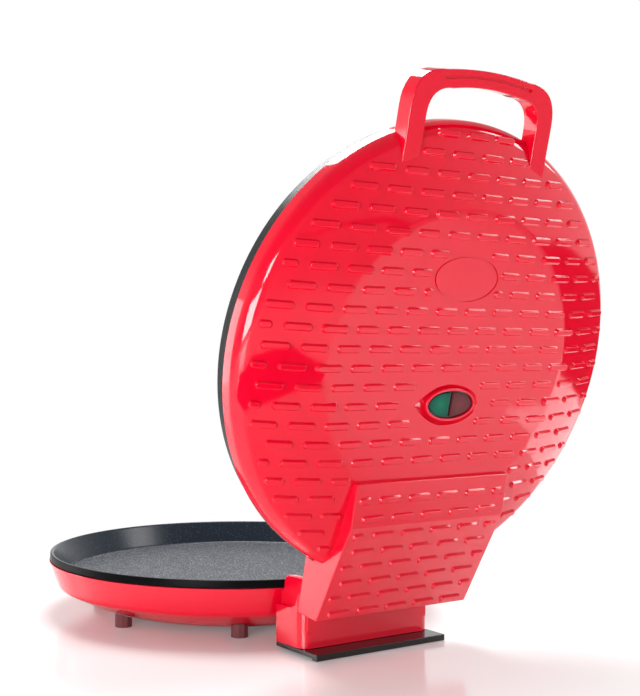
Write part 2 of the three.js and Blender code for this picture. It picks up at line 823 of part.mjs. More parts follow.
const bandClearY = Math.sqrt((upperBandRadius + tailBandGap) ** 2 - (tailHalfWidth - mouldedWall) ** 2);
const skirtHem = upperBandHeight + fit;
const tailBossX = earInnerX - tailBossInsideEar;
const tailBossY = hingeY - tailBossAhead;
const innerCoverLow = tailHemHeight + innerCoverRecess;
const innerCoverHigh = innerCoverLow + mouldedWall;
const locatorRing = lidRadius - locatorInset;
const mountScrewX = handleHalfWidth - handleLeg / 2;
const mountScrewZ = handleTopHeight - 1.5 * handleHalfThickness;
const mountSeatY = Math.sqrt((lidRadius - mouldedWall) ** 2 - mountScrewX ** 2) - 2 * screwHeadRadius;
const dishHalfLength = lampHalfLength + dishBesideLamp;
const dishHalfWidth = lampHalfWidth + dishBeyondLamp;
const lampSill = lidHeight - dishDepth - mouldedWall;

function lidCover() {
  const roof = [
    ...tailOutline,
    [bandClearY, tailHemHeight],
    [bandClearY, skirtHem],
    [tailFrontY, skirtHem],
  ];
  let body = solid(turned(dome(0, skirtHem))).add(solid(crosswise(roof, -tailHalfWidth, tailHalfWidth)));
  body = cut(body, turned(dome(mouldedWall, skirtHem - overrun)));
  const hollowX = tailHalfWidth - mouldedWall;
  body = cut(body, crosswise(tailRoom(), -hollowX, hollowX));
  for (const side of [-1, 1]) {
    const x = side * tailBossX;
    const bossHigh = roofAt(tailBossY) - mouldedWall - fit;
    body = body.add(solid(rod(bossRadius, innerCoverHigh + fit, bossHigh, x, tailBossY)));
    body = cut(body, rod(driveRadius, innerCoverHigh, bossHigh - mouldedWall, x, tailBossY));
  }
  for (const angle of quarterTurns(Math.PI / 4)) {
    const [x, y] = onRing(locatorRing, angle);
    const climb = (lidHeight - domeEdgeHeight) / (domeEdgeRadius - discRadius);
    const ceiling = domeEdgeHeight + climb * (domeEdgeRadius - locatorRing) - mouldedWall / 2;
    body = body.add(solid(rod(bossRadius, upperFloorTop + fit, ceiling, x, y)));
  }
  // The dished lamp recess with its raised oval lip
  const sill = oval(dishHalfLength + 2 * mouldedWall, dishHalfWidth + 2 * mouldedWall, 0, lampY);
  body = body.add(solid(upright(sill, lampSill, lidHeight - mouldedWall / 2)));
  const dishBowl = new THREE.SphereGeometry(1, 32, 16).rotateX(Math.PI / 2);
  const spread = 1 / Math.sqrt(1 - (dishDrop / (dishDepth + dishDrop)) ** 2);
  dishBowl.scale(dishHalfLength * spread, dishHalfWidth * spread, dishDepth + dishDrop);
  body = cut(body, dishBowl.translate(0, lampY, lidHeight + dishDrop));
  const lip = oval(lampHalfLength + fit + lampLip, lampHalfWidth + fit + lampLip, lampX, lampY);
  body = body.add(solid(upright(lip, lampSill, lidHeight - lensRise)));
  const window = oval(lampHalfLength + fit, lampHalfWidth + fit, lampX, lampY);
  body = cut(body, upright(window, lampSill - overrun, lidHeight + overrun));
  // Bosses and holes for the two screws that hold the handle from inside
  for (const side of [-1, 1]) {
    const x = side * mountScrewX;
    const faceY = -mountSeatY - fit;
    const headRoomY = faceY + screwHeadHeight + 2 * fit;
    body = body.add(solid(rodAlong(bossRadius, faceY - mouldedWall, faceY, x, mountScrewZ)));
    body = cut(body, rodAlong(driveRadius, -lidRadius, headRoomY, x, mountScrewZ));
    body = cut(body, rodAlong(screwHeadRadius + fit, faceY, headRoomY, x, mountScrewZ));
  }
  return surface(body);
}

add(lid, 'lid_cover', lidCover(), redPlastic);

// Upper plate: a shallow cast dish with a hollow dark rim
function upperPlate() {
  const land = rimRadius - rimLand;
  const skin = castWall * 1.2;
  const grooveFloor = upperDepth / 3;
  const profile = [
    [0, upperDepth],
    [upperFloorRadius, upperDepth],
    [land, closedRimGap],
    [rimRadius, closedRimGap],
    [upperBandRadius, upperBandHeight],
    [upperBandRadius - skin, upperBandHeight],
    [rimRadius - skin / 2, grooveFloor + closedRimGap],
    [upperFloorRadius + skin, upperFloorTop],
    [0, upperFloorTop],
  ];
  return closed(turned(profile));
}

add(lid, 'upper_plate', upperPlate(), nonStick);

const upperElementZ = upperFloorTop + fit + elementTube;
add(lid, 'upper_heating_element', heatingRing(upperElementZ, 1), elementSteel);
const upperShieldDeep = upperFloorTop + shieldStack;
add(lid, 'upper_heat_shield', heatShield(upperFloorTop + fit, upperShieldDeep, []), sheetSteel);
elementClips(lid, 'upper', upperElementZ + elementTube + fit);
add(lid, 'upper_thermostat', thermostat(upperFloorTop + fit, 1), ceramic);

// Inner cover of the tail, with the two hinge arms and the two stop ribs
function tailInnerCover() {
  const frontY = upperBandRadius + tailBandGap;
  const rearY = tailRearY - mouldedWall + tailHemSetback - innerCoverRearGap;
  const armX = armInnerX + armWidth;
  const sheet = [
    [frontY, innerCoverLow],
    [rearY, innerCoverLow],
    [rearY, innerCoverHigh],
    [frontY, innerCoverHigh],
  ];
  const arm = new THREE.Shape();
  arm.moveTo(hingeY - armRadius * 1.5, innerCoverLow + fit);
  arm.lineTo(hingeY - armRadius, axisHeight);
  arm.absarc(hingeY, axisHeight, armRadius, Math.PI, 2 * Math.PI);
  arm.lineTo(rearY, innerCoverLow + fit);
  const reach = blockRearY - hingeY + fit;
  const low = shutPlace(reach, stopHeight - hingeZ - stopFace);
  const high = shutPlace(reach, stopHeight - hingeZ);
  const rib = [
    [hingeY + high[0], axisHeight + high[1]],
    [hingeY + low[0], axisHeight + low[1]],
    [rearY, innerCoverLow + fit],
    [hingeY, innerCoverLow + fit],
  ];
  const ribInner = stopHalfWidth / 2;
  const ribOuter = ribInner + mouldedWall * 3;
  let body = solid(crosswise(sheet, -armX, armX));
  for (const side of [-1, 1]) {
    const armSpan = [side * armInnerX, side * armX].sort((a, b) => a - b);
    const ribSpan = [side * ribInner, side * ribOuter].sort((a, b) => a - b);
    body = body.add(solid(crosswise(arm, ...armSpan)));
    body = body.add(solid(crosswise(rib, ...ribSpan)));
    const bore = rodAcross(bushRadius + fit, armSpan[0] - overrun, armSpan[1] + overrun, hingeY, axisHeight);
    body = cut(body, bore);
    const bossX = side * tailBossX;
    body = cut(body, rod(driveRadius, innerCoverLow - overrun, innerCoverHigh + overrun, bossX, tailBossY));
  }
  return surface(body);
}

add(lid, 'tail_inner_cover', tailInnerCover(), blackPlastic);

for (const [side, name] of [[1, 'right'], [-1, 'left']]) {
  const profile = [
    [boreRadius, 0],
    [bushRadius, 0],
    [bushRadius, armWidth],
    [boreRadius, armWidth],
  ];
  const start = side > 0 ? armInnerX : -armInnerX - armWidth;
  const bush = turnedRing(profile, hingeSteps).rotateY(Math.PI / 2).translate(start, hingeY, axisHeight);
  add(lid, `hinge_bush_${name}`, closed(bush), nylon);
  const seat = innerCoverLow - fit;
  const length = innerCoverHigh + tailScrewReach - seat;
  add(lid, `tail_screw_${name}`, screwUp(side * tailBossX, tailBossY, seat, length), steel);
}

// Handle: an arch in two halves that meet on a flat seam
function arch(halfWidth, reach, crown, corner, endY) {
  const shape = new THREE.Shape();
  shape.moveTo(halfWidth, endY);
  shape.lineTo(halfWidth, -reach + crown + corner);
  shape.quadraticCurveTo(halfWidth, -reach + crown, halfWidth - corner, -reach + crown);
  shape.quadraticCurveTo(0, -reach - crown / 3, corner - halfWidth, -reach + crown);
  shape.quadraticCurveTo(-halfWidth, -reach + crown, -halfWidth, -reach + crown + corner);
  shape.lineTo(-halfWidth, endY);
  return shape;
}

function handleShape() {
  const rootY = -discRadius;
  const outer = arch(handleHalfWidth, handleReach, handleCrown, handleOuterCorner, rootY);
  const gapHalfWidth = handleHalfWidth - handleLeg;
  const gap = arch(gapHalfWidth, handleReach - handleBar, handleCrown, handleInnerCorner, rootY);
  const points = [...outer.getPoints(archSteps), ...gap.getPoints(archSteps).reverse()];
  return new THREE.Shape(points);
}

const handleTool = solid(turned([
  [0, skirtHem - fit],
  [lidRadius + fit, skirtHem - fit],
  ...dome(-fit, skirtHem).slice(2),
]));
const halfScrewX = handleHalfWidth / 2;
const halfScrewY = -handleReach + handleBar / 2 + handleCrown / 2;

function handleHalf(fromZ, toZ) {
  return solid(upright(handleShape(), fromZ, toZ, handleRound)).subtract(handleTool);
}

const seamHeight = handleTopHeight - handleHalfThickness;
const handleUnder = seamHeight - fit - handleHalfThickness;

function handleOuter() {
  let body = handleHalf(seamHeight, handleTopHeight);
  const holeEnd = handleTopHeight - handleSkin;
  for (const x of [-halfScrewX, halfScrewX]) {
    body = cut(body, rod(driveRadius, seamHeight - overrun, holeEnd, x, halfScrewY));
  }
  return surface(body);
}

function handleInner() {
  let body = handleHalf(handleUnder, seamHeight - fit);
  for (const side of [-1, 1]) {
    const x = side * halfScrewX;
    body = cut(body, rod(driveRadius, handleUnder - overrun, seamHeight, x, halfScrewY));
    const headRoom = handleUnder + screwHeadHeight + fit;
    body = cut(body, rod(screwHeadRadius + fit, handleUnder - overrun, headRoom, x, halfScrewY));
    const deepY = -lidRadius - 1.5 * overrun;
    body = cut(body, rodAlong(driveRadius, deepY, -discRadius, side * mountScrewX, mountScrewZ));
  }
  return surface(body);
}

add(lid, 'handle_outer', handleOuter(), redPlastic);
add(lid, 'handle_inner', handleInner(), redPlastic);

for (const [side, name] of [[1, 'right'], [-1, 'left']]) {
  const seat = handleUnder + screwHeadHeight;
  const tip = handleTopHeight - handleSkin - screwTipGap;
  const screw = screwUp(side * halfScrewX, halfScrewY, seat, tip - seat);
  add(lid, `handle_screw_${name}`, screw, steel);
  const mount = screwUp(0, 0, 0, lidRadius + overrun - mountSeatY);
  mount.rotateX(Math.PI / 2).translate(side * mountScrewX, -mountSeatY, mountScrewZ);
  add(lid, `handle_mount_screw_${name}`, mount, steel);
}

// Lamp window: a black holder, two half-oval lenses and two neon lamps
function halfOval(halfLength, halfWidth, side) {
  const outline = [];
  const turn = Math.acos(lampDivider / 2 / halfLength);
  const middle = side > 0 ? 0 : Math.PI;
  const steps = ovalSteps / 2;
  for (let step = 0; step <= steps; step += 1) {
    const angle = middle - turn + (2 * turn * step) / steps;
    outline.push([lampX + halfLength * Math.cos(angle), lampY + halfWidth * Math.sin(angle)]);
  }
  return outline;
}

const lensTop = lidHeight + lensRise;
const lensBottom = lensTop - lensThickness;
for (const [side, name, material] of [[1, 'green', greenLens], [-1, 'red', redLens]]) {
  const outline = halfOval(lampHalfLength - fit, lampHalfWidth - fit, side);
  const lens = upright(outline, lensBottom, lensTop, lensRound);
  add(lid, `${name}_lamp_lens`, closed(lens), material);
}

function lampHolder() {
  const top = lensBottom - fit;
  const bottom = lampSill - fit - holderDepth;
  const flangeTop = lampSill - fit;
  let body = join(
    upright(oval(lampHalfLength, lampHalfWidth, lampX, lampY), bottom, top),
    upright(oval(lampHalfLength + 2 * lampLip, lampHalfWidth + 2 * lampLip, lampX, lampY),
      flangeTop - lampLip, flangeTop),
  );
  for (const side of [-1, 1]) {
    const x = lampX + side * lampHalfLength / 2;
    body = cut(body, rod(neonRadius + fit, bottom - overrun, top - lampLip, x, lampY));
  }
  return surface(body);
}

add(lid, 'lamp_holder', lampHolder(), blackPlastic);
for (const [side, name] of [[1, 'green'], [-1, 'red']]) {
  const top = lensBottom - fit - lampLip - fit;
  const length = (top - upperShieldDeep) * neonShare;
  const lamp = rod(neonRadius, top - length, top, lampX + side * lampHalfLength / 2, lampY);
  add(lid, `neon_lamp_${name}`, closed(lamp), lampGlass);
}

// The whole cooker, set with the middle of its footprint at the origin
const cooker = new THREE.Group();
cooker.add(base, hinge);
cooker.updateMatrixWorld(true);
const bounds = new THREE.Box3().setFromObject(cooker, true);
cooker.position.set(-(bounds.min.x + bounds.max.x) / 2, -(bounds.min.y + bounds.max.y) / 2, -bounds.min.z);
cooker.updateMatrixWorld(true);

export default cooker;
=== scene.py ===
# Electric pizza maker, standing open on a white studio table.
import json
import math

import bmesh
import bpy
from mathutils import Matrix, Vector


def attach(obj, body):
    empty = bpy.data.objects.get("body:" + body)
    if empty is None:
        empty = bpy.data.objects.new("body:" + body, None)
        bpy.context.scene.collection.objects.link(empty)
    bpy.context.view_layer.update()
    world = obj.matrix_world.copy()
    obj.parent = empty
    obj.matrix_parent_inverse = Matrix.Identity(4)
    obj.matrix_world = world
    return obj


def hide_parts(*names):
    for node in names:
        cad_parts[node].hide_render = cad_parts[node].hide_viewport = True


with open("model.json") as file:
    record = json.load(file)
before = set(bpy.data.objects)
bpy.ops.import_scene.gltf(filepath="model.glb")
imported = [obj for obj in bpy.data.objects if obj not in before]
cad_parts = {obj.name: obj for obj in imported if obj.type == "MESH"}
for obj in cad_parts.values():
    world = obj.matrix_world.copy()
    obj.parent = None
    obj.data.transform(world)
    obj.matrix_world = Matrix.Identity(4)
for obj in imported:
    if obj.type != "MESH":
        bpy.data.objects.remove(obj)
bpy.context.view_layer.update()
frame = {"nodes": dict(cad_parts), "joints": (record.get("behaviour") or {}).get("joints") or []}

# Camera: it stands behind the open cooker, a little to its right and at the height of
# the lid's middle, and looks almost level.
hinge_point = Vector(frame["joints"][0]["pos_m"])
pan_to_hinge = 0.1855
pan_middle = Vector((0, hinge_point.y - pan_to_hinge, 0))
image_width = 640
image_height = 696


def place_camera(place, heading, pitch, roll, focal_pixels):
    """Adds the camera, with its angles in radians and its focal length in pixels."""
    forward = Vector((
        -math.sin(heading) * math.cos(pitch),
        -math.cos(heading) * math.cos(pitch),
        -math.sin(pitch),
    ))
    level = Vector((-math.cos(heading), math.sin(heading), 0))
    right = level * math.cos(roll) + level.cross(forward) * math.sin(roll)
    up = right.cross(forward)
    data = bpy.data.cameras.new("camera")
    data.lens = focal_pixels * data.sensor_width / max(image_width, image_height)
    data.clip_start = 0.01
    data.clip_end = 50
    camera = bpy.data.objects.new("camera", data)
    bpy.context.scene.collection.objects.link(camera)
    turn = Matrix((right, up, -forward)).transposed().to_4x4()
    camera.matrix_world = Matrix.Translation(place) @ turn
    bpy.context.scene.camera = camera


camera_place = pan_middle + Vector((0.577945, 0.937063, 0.224914))
camera_heading = math.radians(35.336)
camera_pitch = math.radians(0.080)
camera_roll = math.radians(0.304)
focal_pixels = 1260.52
place_camera(camera_place, camera_heading, camera_pitch, camera_roll, focal_pixels)

# Table: a white lacquered board, laid square to the camera, with one corner cut off far out
# to the right. Past that cut the lid's right edge mirrors the dark room, and its left edge
# mirrors a strip of black cloth that lies near the camera.


def linear(hex_colour):
    """Turns an sRGB hex value to the linear colour that a shader takes."""
    parts = [int(hex_colour[i:i + 2], 16) / 255 for i in (1, 3, 5)]
    curved = [p / 12.92 if p <= 0.04045 else ((p + 0.055) / 1.055) ** 2.4 for p in parts]
    return (*curved, 1)


def add_node(tree, kind, settings=(), inputs=()):
    """Adds a node, sets its properties, and sets or links its inputs."""
    node = tree.nodes.new(kind)
    for name, value in dict(settings).items():
        setattr(node, name, value)
    for socket, value in dict(inputs).items():
        if isinstance(value, bpy.types.NodeSocket):
            tree.links.new(value, node.inputs[socket])
        else:
            node.inputs[socket].default_value = value
    return node


def new_material(name):
    material = bpy.data.materials.new(name)
    material.use_nodes = True
    material.node_tree.nodes.clear()
    return material


def white_table_lacquer():
    # Lacquered board, sprayed and polished: white, with a soft mirror at a low angle. The
    # camera sees it run out into pure white with distance; all else sees the lacquer.
    material = new_material("white_table_lacquer")
    tree = material.node_tree
    lacquer = add_node(tree, "ShaderNodeBsdfPrincipled", inputs={
        "Base Color": linear("#F6F4F4"),
        "Roughness": 0.14,
        "IOR": 1.5,
    })
    glow = add_node(tree, "ShaderNodeEmission", inputs={"Color": (1, 1, 1, 1), "Strength": 1.0})
    where = add_node(tree, "ShaderNodeTexCoord")
    away = add_node(tree, "ShaderNodeVectorMath", {"operation": "LENGTH"}, {
        0: where.outputs["Object"],
    })
    # The white starts 0.2 m out from under the cooker and is pure at 0.5 m
    fade = add_node(tree, "ShaderNodeMapRange", {"interpolation_type": "SMOOTHSTEP"}, {
        "Value": away.outputs["Value"],
        "From Min": 0.2, "From Max": 0.5, "To Min": 0.12, "To Max": 1.0,
    })
    rays = add_node(tree, "ShaderNodeLightPath")
    share = add_node(tree, "ShaderNodeMath", {"operation": "MULTIPLY"}, {
        0: rays.outputs["Is Camera Ray"], 1: fade.outputs[0],
    })
    mixed = add_node(tree, "ShaderNodeMixShader", inputs={
        0: share.outputs[0], 1: lacquer.outputs[0], 2: glow.outputs[0],
    })
    add_node(tree, "ShaderNodeOutputMaterial", inputs={"Surface": mixed.outputs[0]})
    return material


def black_cloth():
    # Cotton velvet: it takes nearly all light, with a nap some 2 mm long.
    material = new_material("black_cotton_velvet")
    tree = material.node_tree
    where = add_node(tree, "ShaderNodeTexCoord")
    nap = add_node(tree, "ShaderNodeTexNoise", inputs={
        "Vector": where.outputs["Object"], "Scale": 500,
    })
    raised = add_node(tree, "ShaderNodeBump", inputs={
        "Height": nap.outputs[0], "Distance": 0.001,
    })
    velvet = add_node(tree, "ShaderNodeBsdfDiffuse", inputs={
        "Color": linear("#080808"), "Normal": raised.outputs[0],
    })
    add_node(tree, "ShaderNodeOutputMaterial", inputs={"Surface": velvet.outputs[0]})
    return material


def laid_flat(name, corners, height, material):
    """A flat sheet on the ground, from corners ahead of the camera and to its right."""
    toward = Vector((-math.sin(camera_heading), -math.cos(camera_heading), 0))
    rightward = Vector((toward.y, -toward.x, 0))
    ground = Vector((camera_place.x, camera_place.y, height))
    bm = bmesh.new()
    placed = [ground + toward * ahead + rightward * aside for ahead, aside in corners]
    face = bm.faces.new([bm.verts.new(corner) for corner in placed])
    if face.normal.z < 0:
        bmesh.ops.reverse_faces(bm, faces=[face])
    mesh = bpy.data.meshes.new(name)
    bm.to_mesh(mesh)
    bm.free()
    mesh.materials.append(material)
    sheet = bpy.data.objects.new(name, mesh)
    bpy.context.scene.collection.objects.link(sheet)
    return sheet


# The board lies 0.2 mm under the feet, so that no two faces share a plane
table_height = -0.0002
table_corners = [(-12, -8), (-12, 8), (0.95, 8), (1.1, 0.78), (12, 0.78), (12, -8)]
laid_flat("studio_table", table_corners, table_height, white_table_lacquer())
cloth_height = 0.001
cloth_corners = [(0.38, -0.3), (0.38, 0.34), (0.58, 0.34), (0.58, -0.3)]
cloth_strip = laid_flat("black_cloth", cloth_corners, cloth_height, black_cloth())
# Only gloss shows the cloth, so it neither darkens the light nor the other views
cloth_strip.visible_camera = False
cloth_strip.visible_diffuse = False
cloth_strip.visible_shadow = False

# Studio light: softboxes above the cooker, on both sides of it and beside the camera, one
# that lies on the table, and one with a grid that hangs over the table. The room is bright
# beyond the cooker, dimmer behind the camera and overhead, and dark below the table.


def softbox(name, place, target, width, height, watts):
    """A rectangular lamp that faces its target."""
    data = bpy.data.lights.new(name, "AREA")
    data.shape = "RECTANGLE"
    data.size = width
    data.size_y = height
    data.energy = watts
    lamp = bpy.data.objects.new(name, data)
    bpy.context.scene.collection.objects.link(lamp)
    aim = Vector(target) - Vector(place)
    turn = aim.to_track_quat("-Z", "Y").to_matrix().to_4x4()
    lamp.matrix_world = Matrix.Translation(place) @ turn
    return lamp


softbox("overhead_softbox", (-0.14, -0.48, 1.1), (0.06, 0.2, 0.35), 0.44, 0.8, 15)
softbox("right_softbox", (-0.77, 0.5, 0.77), (0, 0.1, 0.15), 0.36, 0.36, 4)
softbox("front_softbox", (1.05, 0.65, 0.2), (0, 0.15, 0.1), 0.5, 0.3, 7)
softbox("camera_softbox", (0.95, 0.85, 0.5), (0, 0.15, 0.2), 0.2, 0.2, 2)
softbox("left_softbox", (0.85, -0.9, 0.3), (0.1, 0.1, 0.2), 0.6, 0.6, 4)
softbox("table_softbox", (-0.5, 0.28, 0.01), (-0.45, 0.28, 0.6), 0.4, 0.4, 0.9)
hanging_softbox = softbox("hanging_softbox", (-0.5, 0.8, 0.45), (-0.5, 0.81, 0), 0.9, 0.9, 1.6)
# Its grid keeps the light off the lid, which only mirrors the bright table under it
grid_angle = math.radians(75)
hanging_softbox.data.spread = grid_angle
hanging_softbox.visible_glossy = False


def studio_world():
    world = bpy.data.worlds.new("studio_world")
    world.use_nodes = True
    tree = world.node_tree
    tree.nodes.clear()
    where = add_node(tree, "ShaderNodeTexCoord")
    parts = add_node(tree, "ShaderNodeSeparateXYZ", inputs={0: where.outputs["Generated"]})
    # Dark below the table's edge, and bright from there up
    room = add_node(tree, "ShaderNodeMapRange", {"interpolation_type": "SMOOTHSTEP"}, {
        "Value": parts.outputs["Z"],
        "From Min": -0.02, "From Max": -0.005, "To Min": 0.04, "To Max": 0.7,
    })
    # The bright side lies beyond the cooker, and the dim one behind the camera
    beyond = add_node(tree, "ShaderNodeVectorMath", {"operation": "DOT_PRODUCT"}, {
        0: where.outputs["Generated"], 1: (-0.6, -0.8, 0),
    })
    backdrop = add_node(tree, "ShaderNodeMapRange", {"interpolation_type": "SMOOTHSTEP"}, {
        "Value": beyond.outputs["Value"],
        "From Min": -0.75, "From Max": 0.3, "To Min": 0.45, "To Max": 1.6,
    })
    ceiling = add_node(tree, "ShaderNodeMapRange", {"interpolation_type": "SMOOTHSTEP"}, {
        "Value": parts.outputs["Z"],
        "From Min": 0.25, "From Max": 0.5, "To Min": 1.0, "To Max": 0.4,
    })
    walls = add_node(tree, "ShaderNodeMath", {"operation": "MULTIPLY"}, {
        0: room.outputs[0], 1: backdrop.outputs[0],
    })
    lit = add_node(tree, "ShaderNodeMath", {"operation": "MULTIPLY"}, {
        0: walls.outputs[0], 1: ceiling.outputs[0],
    })
    rays = add_node(tree, "ShaderNodeLightPath")
    strength = add_node(tree, "ShaderNodeMapRange", inputs={
        "Value": rays.outputs["Is Camera Ray"], "To Min": lit.outputs[0], "To Max": 1.0,
    })
    light = add_node(tree, "ShaderNodeBackground", inputs={
        "Color": (1, 1, 1, 1), "Strength": strength.outputs[0],
    })
    add_node(tree, "ShaderNodeOutputWorld", inputs={"Surface": light.outputs[0]})
    bpy.context.scene.world = world


studio_world()
bpy.context.scene.view_settings.view_transform = "Standard"

# Base housing: one injection-moulded shell of glossy red ABS. It is the round bowl that
# carries the pan, the hinge block behind it, and two ears that hold the hinge pins.
MM = 0.001
rim_height = 50
lip_height = 43.7
lip_inside = 158.5
lip_outside = 160.8
hinge_y = 185.5
hinge_z = 45.4
block_half_width = 60
block_front = 152
block_rear = 187
block_corner = 9
cheek_inside = 51
ear_outside = 56
ear_front = 155.9
ear_radius = 10.4
ear_edge = 0.8


def turned(profile):
    """Spins a profile of [radius, height] pairs about the upright axis."""
    bm = bmesh.new()
    points = [bm.verts.new((radius, 0, height)) for radius, height in profile]
    rims = [bm.edges.new(pair) for pair in zip(points, points[1:])]
    bmesh.ops.spin(bm, geom=points + rims, cent=(0, 0, 0), axis=(0, 0, 1), angle=2 * math.pi,
                   steps=192, use_merge=True)
    bmesh.ops.remove_doubles(bm, verts=bm.verts, dist=0.001)
    bmesh.ops.recalc_face_normals(bm, faces=bm.faces)
    return bm


def drawn_out(outline, way):
    """Extrudes a flat outline of 3-D points by one vector."""
    bm = bmesh.new()
    face = bm.faces.new([bm.verts.new(point) for point in outline])
    grown = bmesh.ops.extrude_face_region(bm, geom=[face])
    moved = [part for part in grown["geom"] if isinstance(part, bmesh.types.BMVert)]
    bmesh.ops.translate(bm, verts=moved, vec=way)
    bmesh.ops.recalc_face_normals(bm, faces=bm.faces)
    return bm


def crosswise(outline, from_x, to_x):
    """Extrudes an outline of [y, z] pairs from one x to another."""
    return drawn_out([(from_x, y, z) for y, z in outline], (to_x - from_x, 0, 0))


def upright(outline, from_z, to_z):
    """Extrudes an outline of [x, y] pairs from one height to another."""
    return drawn_out([(x, y, from_z) for x, y in outline], (0, 0, to_z - from_z))


def arc(middle, radius, start, end, steps):
    """Points on an arc, with its angles in degrees."""
    angles = [math.radians(start + (end - start) * step / steps) for step in range(steps + 1)]
    return [(middle[0] + radius * math.cos(a), middle[1] + radius * math.sin(a)) for a in angles]


def rounded(bm, width, limit=30):
    """Bevels every edge that is sharper than a limit in degrees."""
    sharp = [e for e in bm.edges if e.is_manifold and e.calc_face_angle() > math.radians(limit)]
    bmesh.ops.bevel(bm, geom=sharp, offset=width, offset_type="OFFSET", affect="EDGES",
                    segments=3, profile=0.5, material=-1, clamp_overlap=True)
    return bm


def solid(bm, name="solid"):
    """Makes an object of a bmesh."""
    mesh = bpy.data.meshes.new(name)
    bm.to_mesh(mesh)
    bm.free()
    body = bpy.data.objects.new(name, mesh)
    bpy.context.scene.collection.objects.link(body)
    return body


def combined(body, tool_bm, operation):
    """Joins a bmesh to an object, or cuts it out of it."""
    tool = solid(tool_bm, "tool")
    change = body.modifiers.new("change", "BOOLEAN")
    change.operation = operation
    change.solver = "EXACT"
    change.object = tool
    bpy.context.view_layer.update()
    settled = bpy.context.evaluated_depsgraph_get()
    changed = bpy.data.meshes.new_from_object(body.evaluated_get(settled))
    body.modifiers.clear()
    body.data = changed
    bpy.data.objects.remove(tool)


base_place = Matrix.Translation(pan_middle)


def finished(body, name, material, ride_on, replaced, place=base_place):
    bm = bmesh.new()
    bm.from_mesh(body.data)
    bmesh.ops.remove_doubles(bm, verts=bm.verts, dist=0.0005)
    bmesh.ops.transform(bm, matrix=place @ Matrix.Scale(MM, 4), verts=bm.verts)
    for face in bm.faces:
        face.smooth = True
    sharp = math.radians(32)
    for edge in bm.edges:
        edge.smooth = not (edge.is_manifold and edge.calc_face_angle() > sharp)
    bm.to_mesh(body.data)
    bm.free()
    body.name = name
    body.data.name = name
    body.data.materials.clear()
    body.data.materials.append(material)
    level = body.modifiers.new("level_flats", "WEIGHTED_NORMAL")
    level.keep_sharp = True
    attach(body, ride_on)
    if replaced:
        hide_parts(*replaced)
    return body


def glossy_red_abs():
    # ABS from a polished mould: saturated red under a clear gloss, with faint flow waves.
    material = new_material("glossy_red_abs")
    tree = material.node_tree
    where = add_node(tree, "ShaderNodeTexCoord")
    # Flow waves some 30 mm across, a few micrometres deep
    waves = add_node(tree, "ShaderNodeTexNoise", inputs={
        "Vector": where.outputs["Object"], "Scale": 32, "Detail": 1, "Roughness": 0.4,
    })
    wavy = add_node(tree, "ShaderNodeBump", inputs={
        "Height": waves.outputs[0], "Strength": 0.05, "Distance": 0.001,
    })
    # Handling marks dull the gloss in patches some 40 mm across
    patches = add_node(tree, "ShaderNodeTexNoise", inputs={
        "Vector": where.outputs["Object"], "Scale": 25, "Detail": 3, "Roughness": 0.6,
    })
    dullness = add_node(tree, "ShaderNodeMapRange", inputs={
        "Value": patches.outputs[0],
        "From Min": 0.3, "From Max": 0.7, "To Min": 0.05, "To Max": 0.09,
    })
    plastic = add_node(tree, "ShaderNodeBsdfPrincipled", inputs={
        "Base Color": linear("#E6052B"),
        "Roughness": dullness.outputs[0],
        "IOR": 1.54,
        "Normal": wavy.outputs[0],
    })
    add_node(tree, "ShaderNodeOutputMaterial", inputs={"Surface": plastic.outputs[0]})
    return material


red_abs = glossy_red_abs()

bowl_outside = [
    (0, 5), (110.5, 5), (113.5, 5.3), (116, 6),
    (132.75, 12), (149.5, 20.1), (151.5, 21.2), (153.3, 22.6), (154.2, 24.2), (154.7, 25.8),
    (161.0, 43.4), (lip_outside, lip_height),
]
bowl_inside = [
    (lip_inside, lip_height), (152.2, 26.2), (151.7, 24.8), (150.6, 23.9), (149.0, 23.1),
    (131.6, 14.4), (115.2, 8.2), (112.8, 7.6), (110, 7.5), (0, 7.5),
]
block_saddle = [(block_front, 5), (block_rear, 5), (block_rear, 33), (block_front, 33)]
block_cheek = [
    (block_front, 5), (block_rear, 5), (block_rear, 44), (180, 44), (177, 36), (block_front, 22),
]
block_stop = [(182, 5), (block_rear, 5), (block_rear, 40), (182, 40)]
stop_half_width = 37
wide_room = [(154.5, -1), (184.5, -1), (184.5, 30.5), (177, 30.5), (154.5, 19.5)]
wide_half = 55.5
middle_room = [(154.5, -1), (184.5, -1), (184.5, 30.5), (154.5, 30.5)]
middle_half = 48.5
block_plan = [
    (-block_half_width, 120), (block_half_width, 120),
    *arc((block_half_width - block_corner, block_rear - block_corner), block_corner, 0, 90, 8),
    *arc((block_corner - block_half_width, block_rear - block_corner), block_corner, 90, 180, 8),
]
ear_outline = [
    (block_front, 16), (block_front, lip_height), (ear_front, lip_height),
    (ear_front + 0.3, 47.5), (ear_front + 1.0, 50.8),
    (ear_front + 2.6, 53.6), (ear_front + 5.4, 55.3),
    (hinge_y - ear_radius, 55.8),
    *arc((hinge_y, hinge_z), ear_radius, 90, -45, 18),
    (block_rear, 29.6), (block_rear, 16),
]


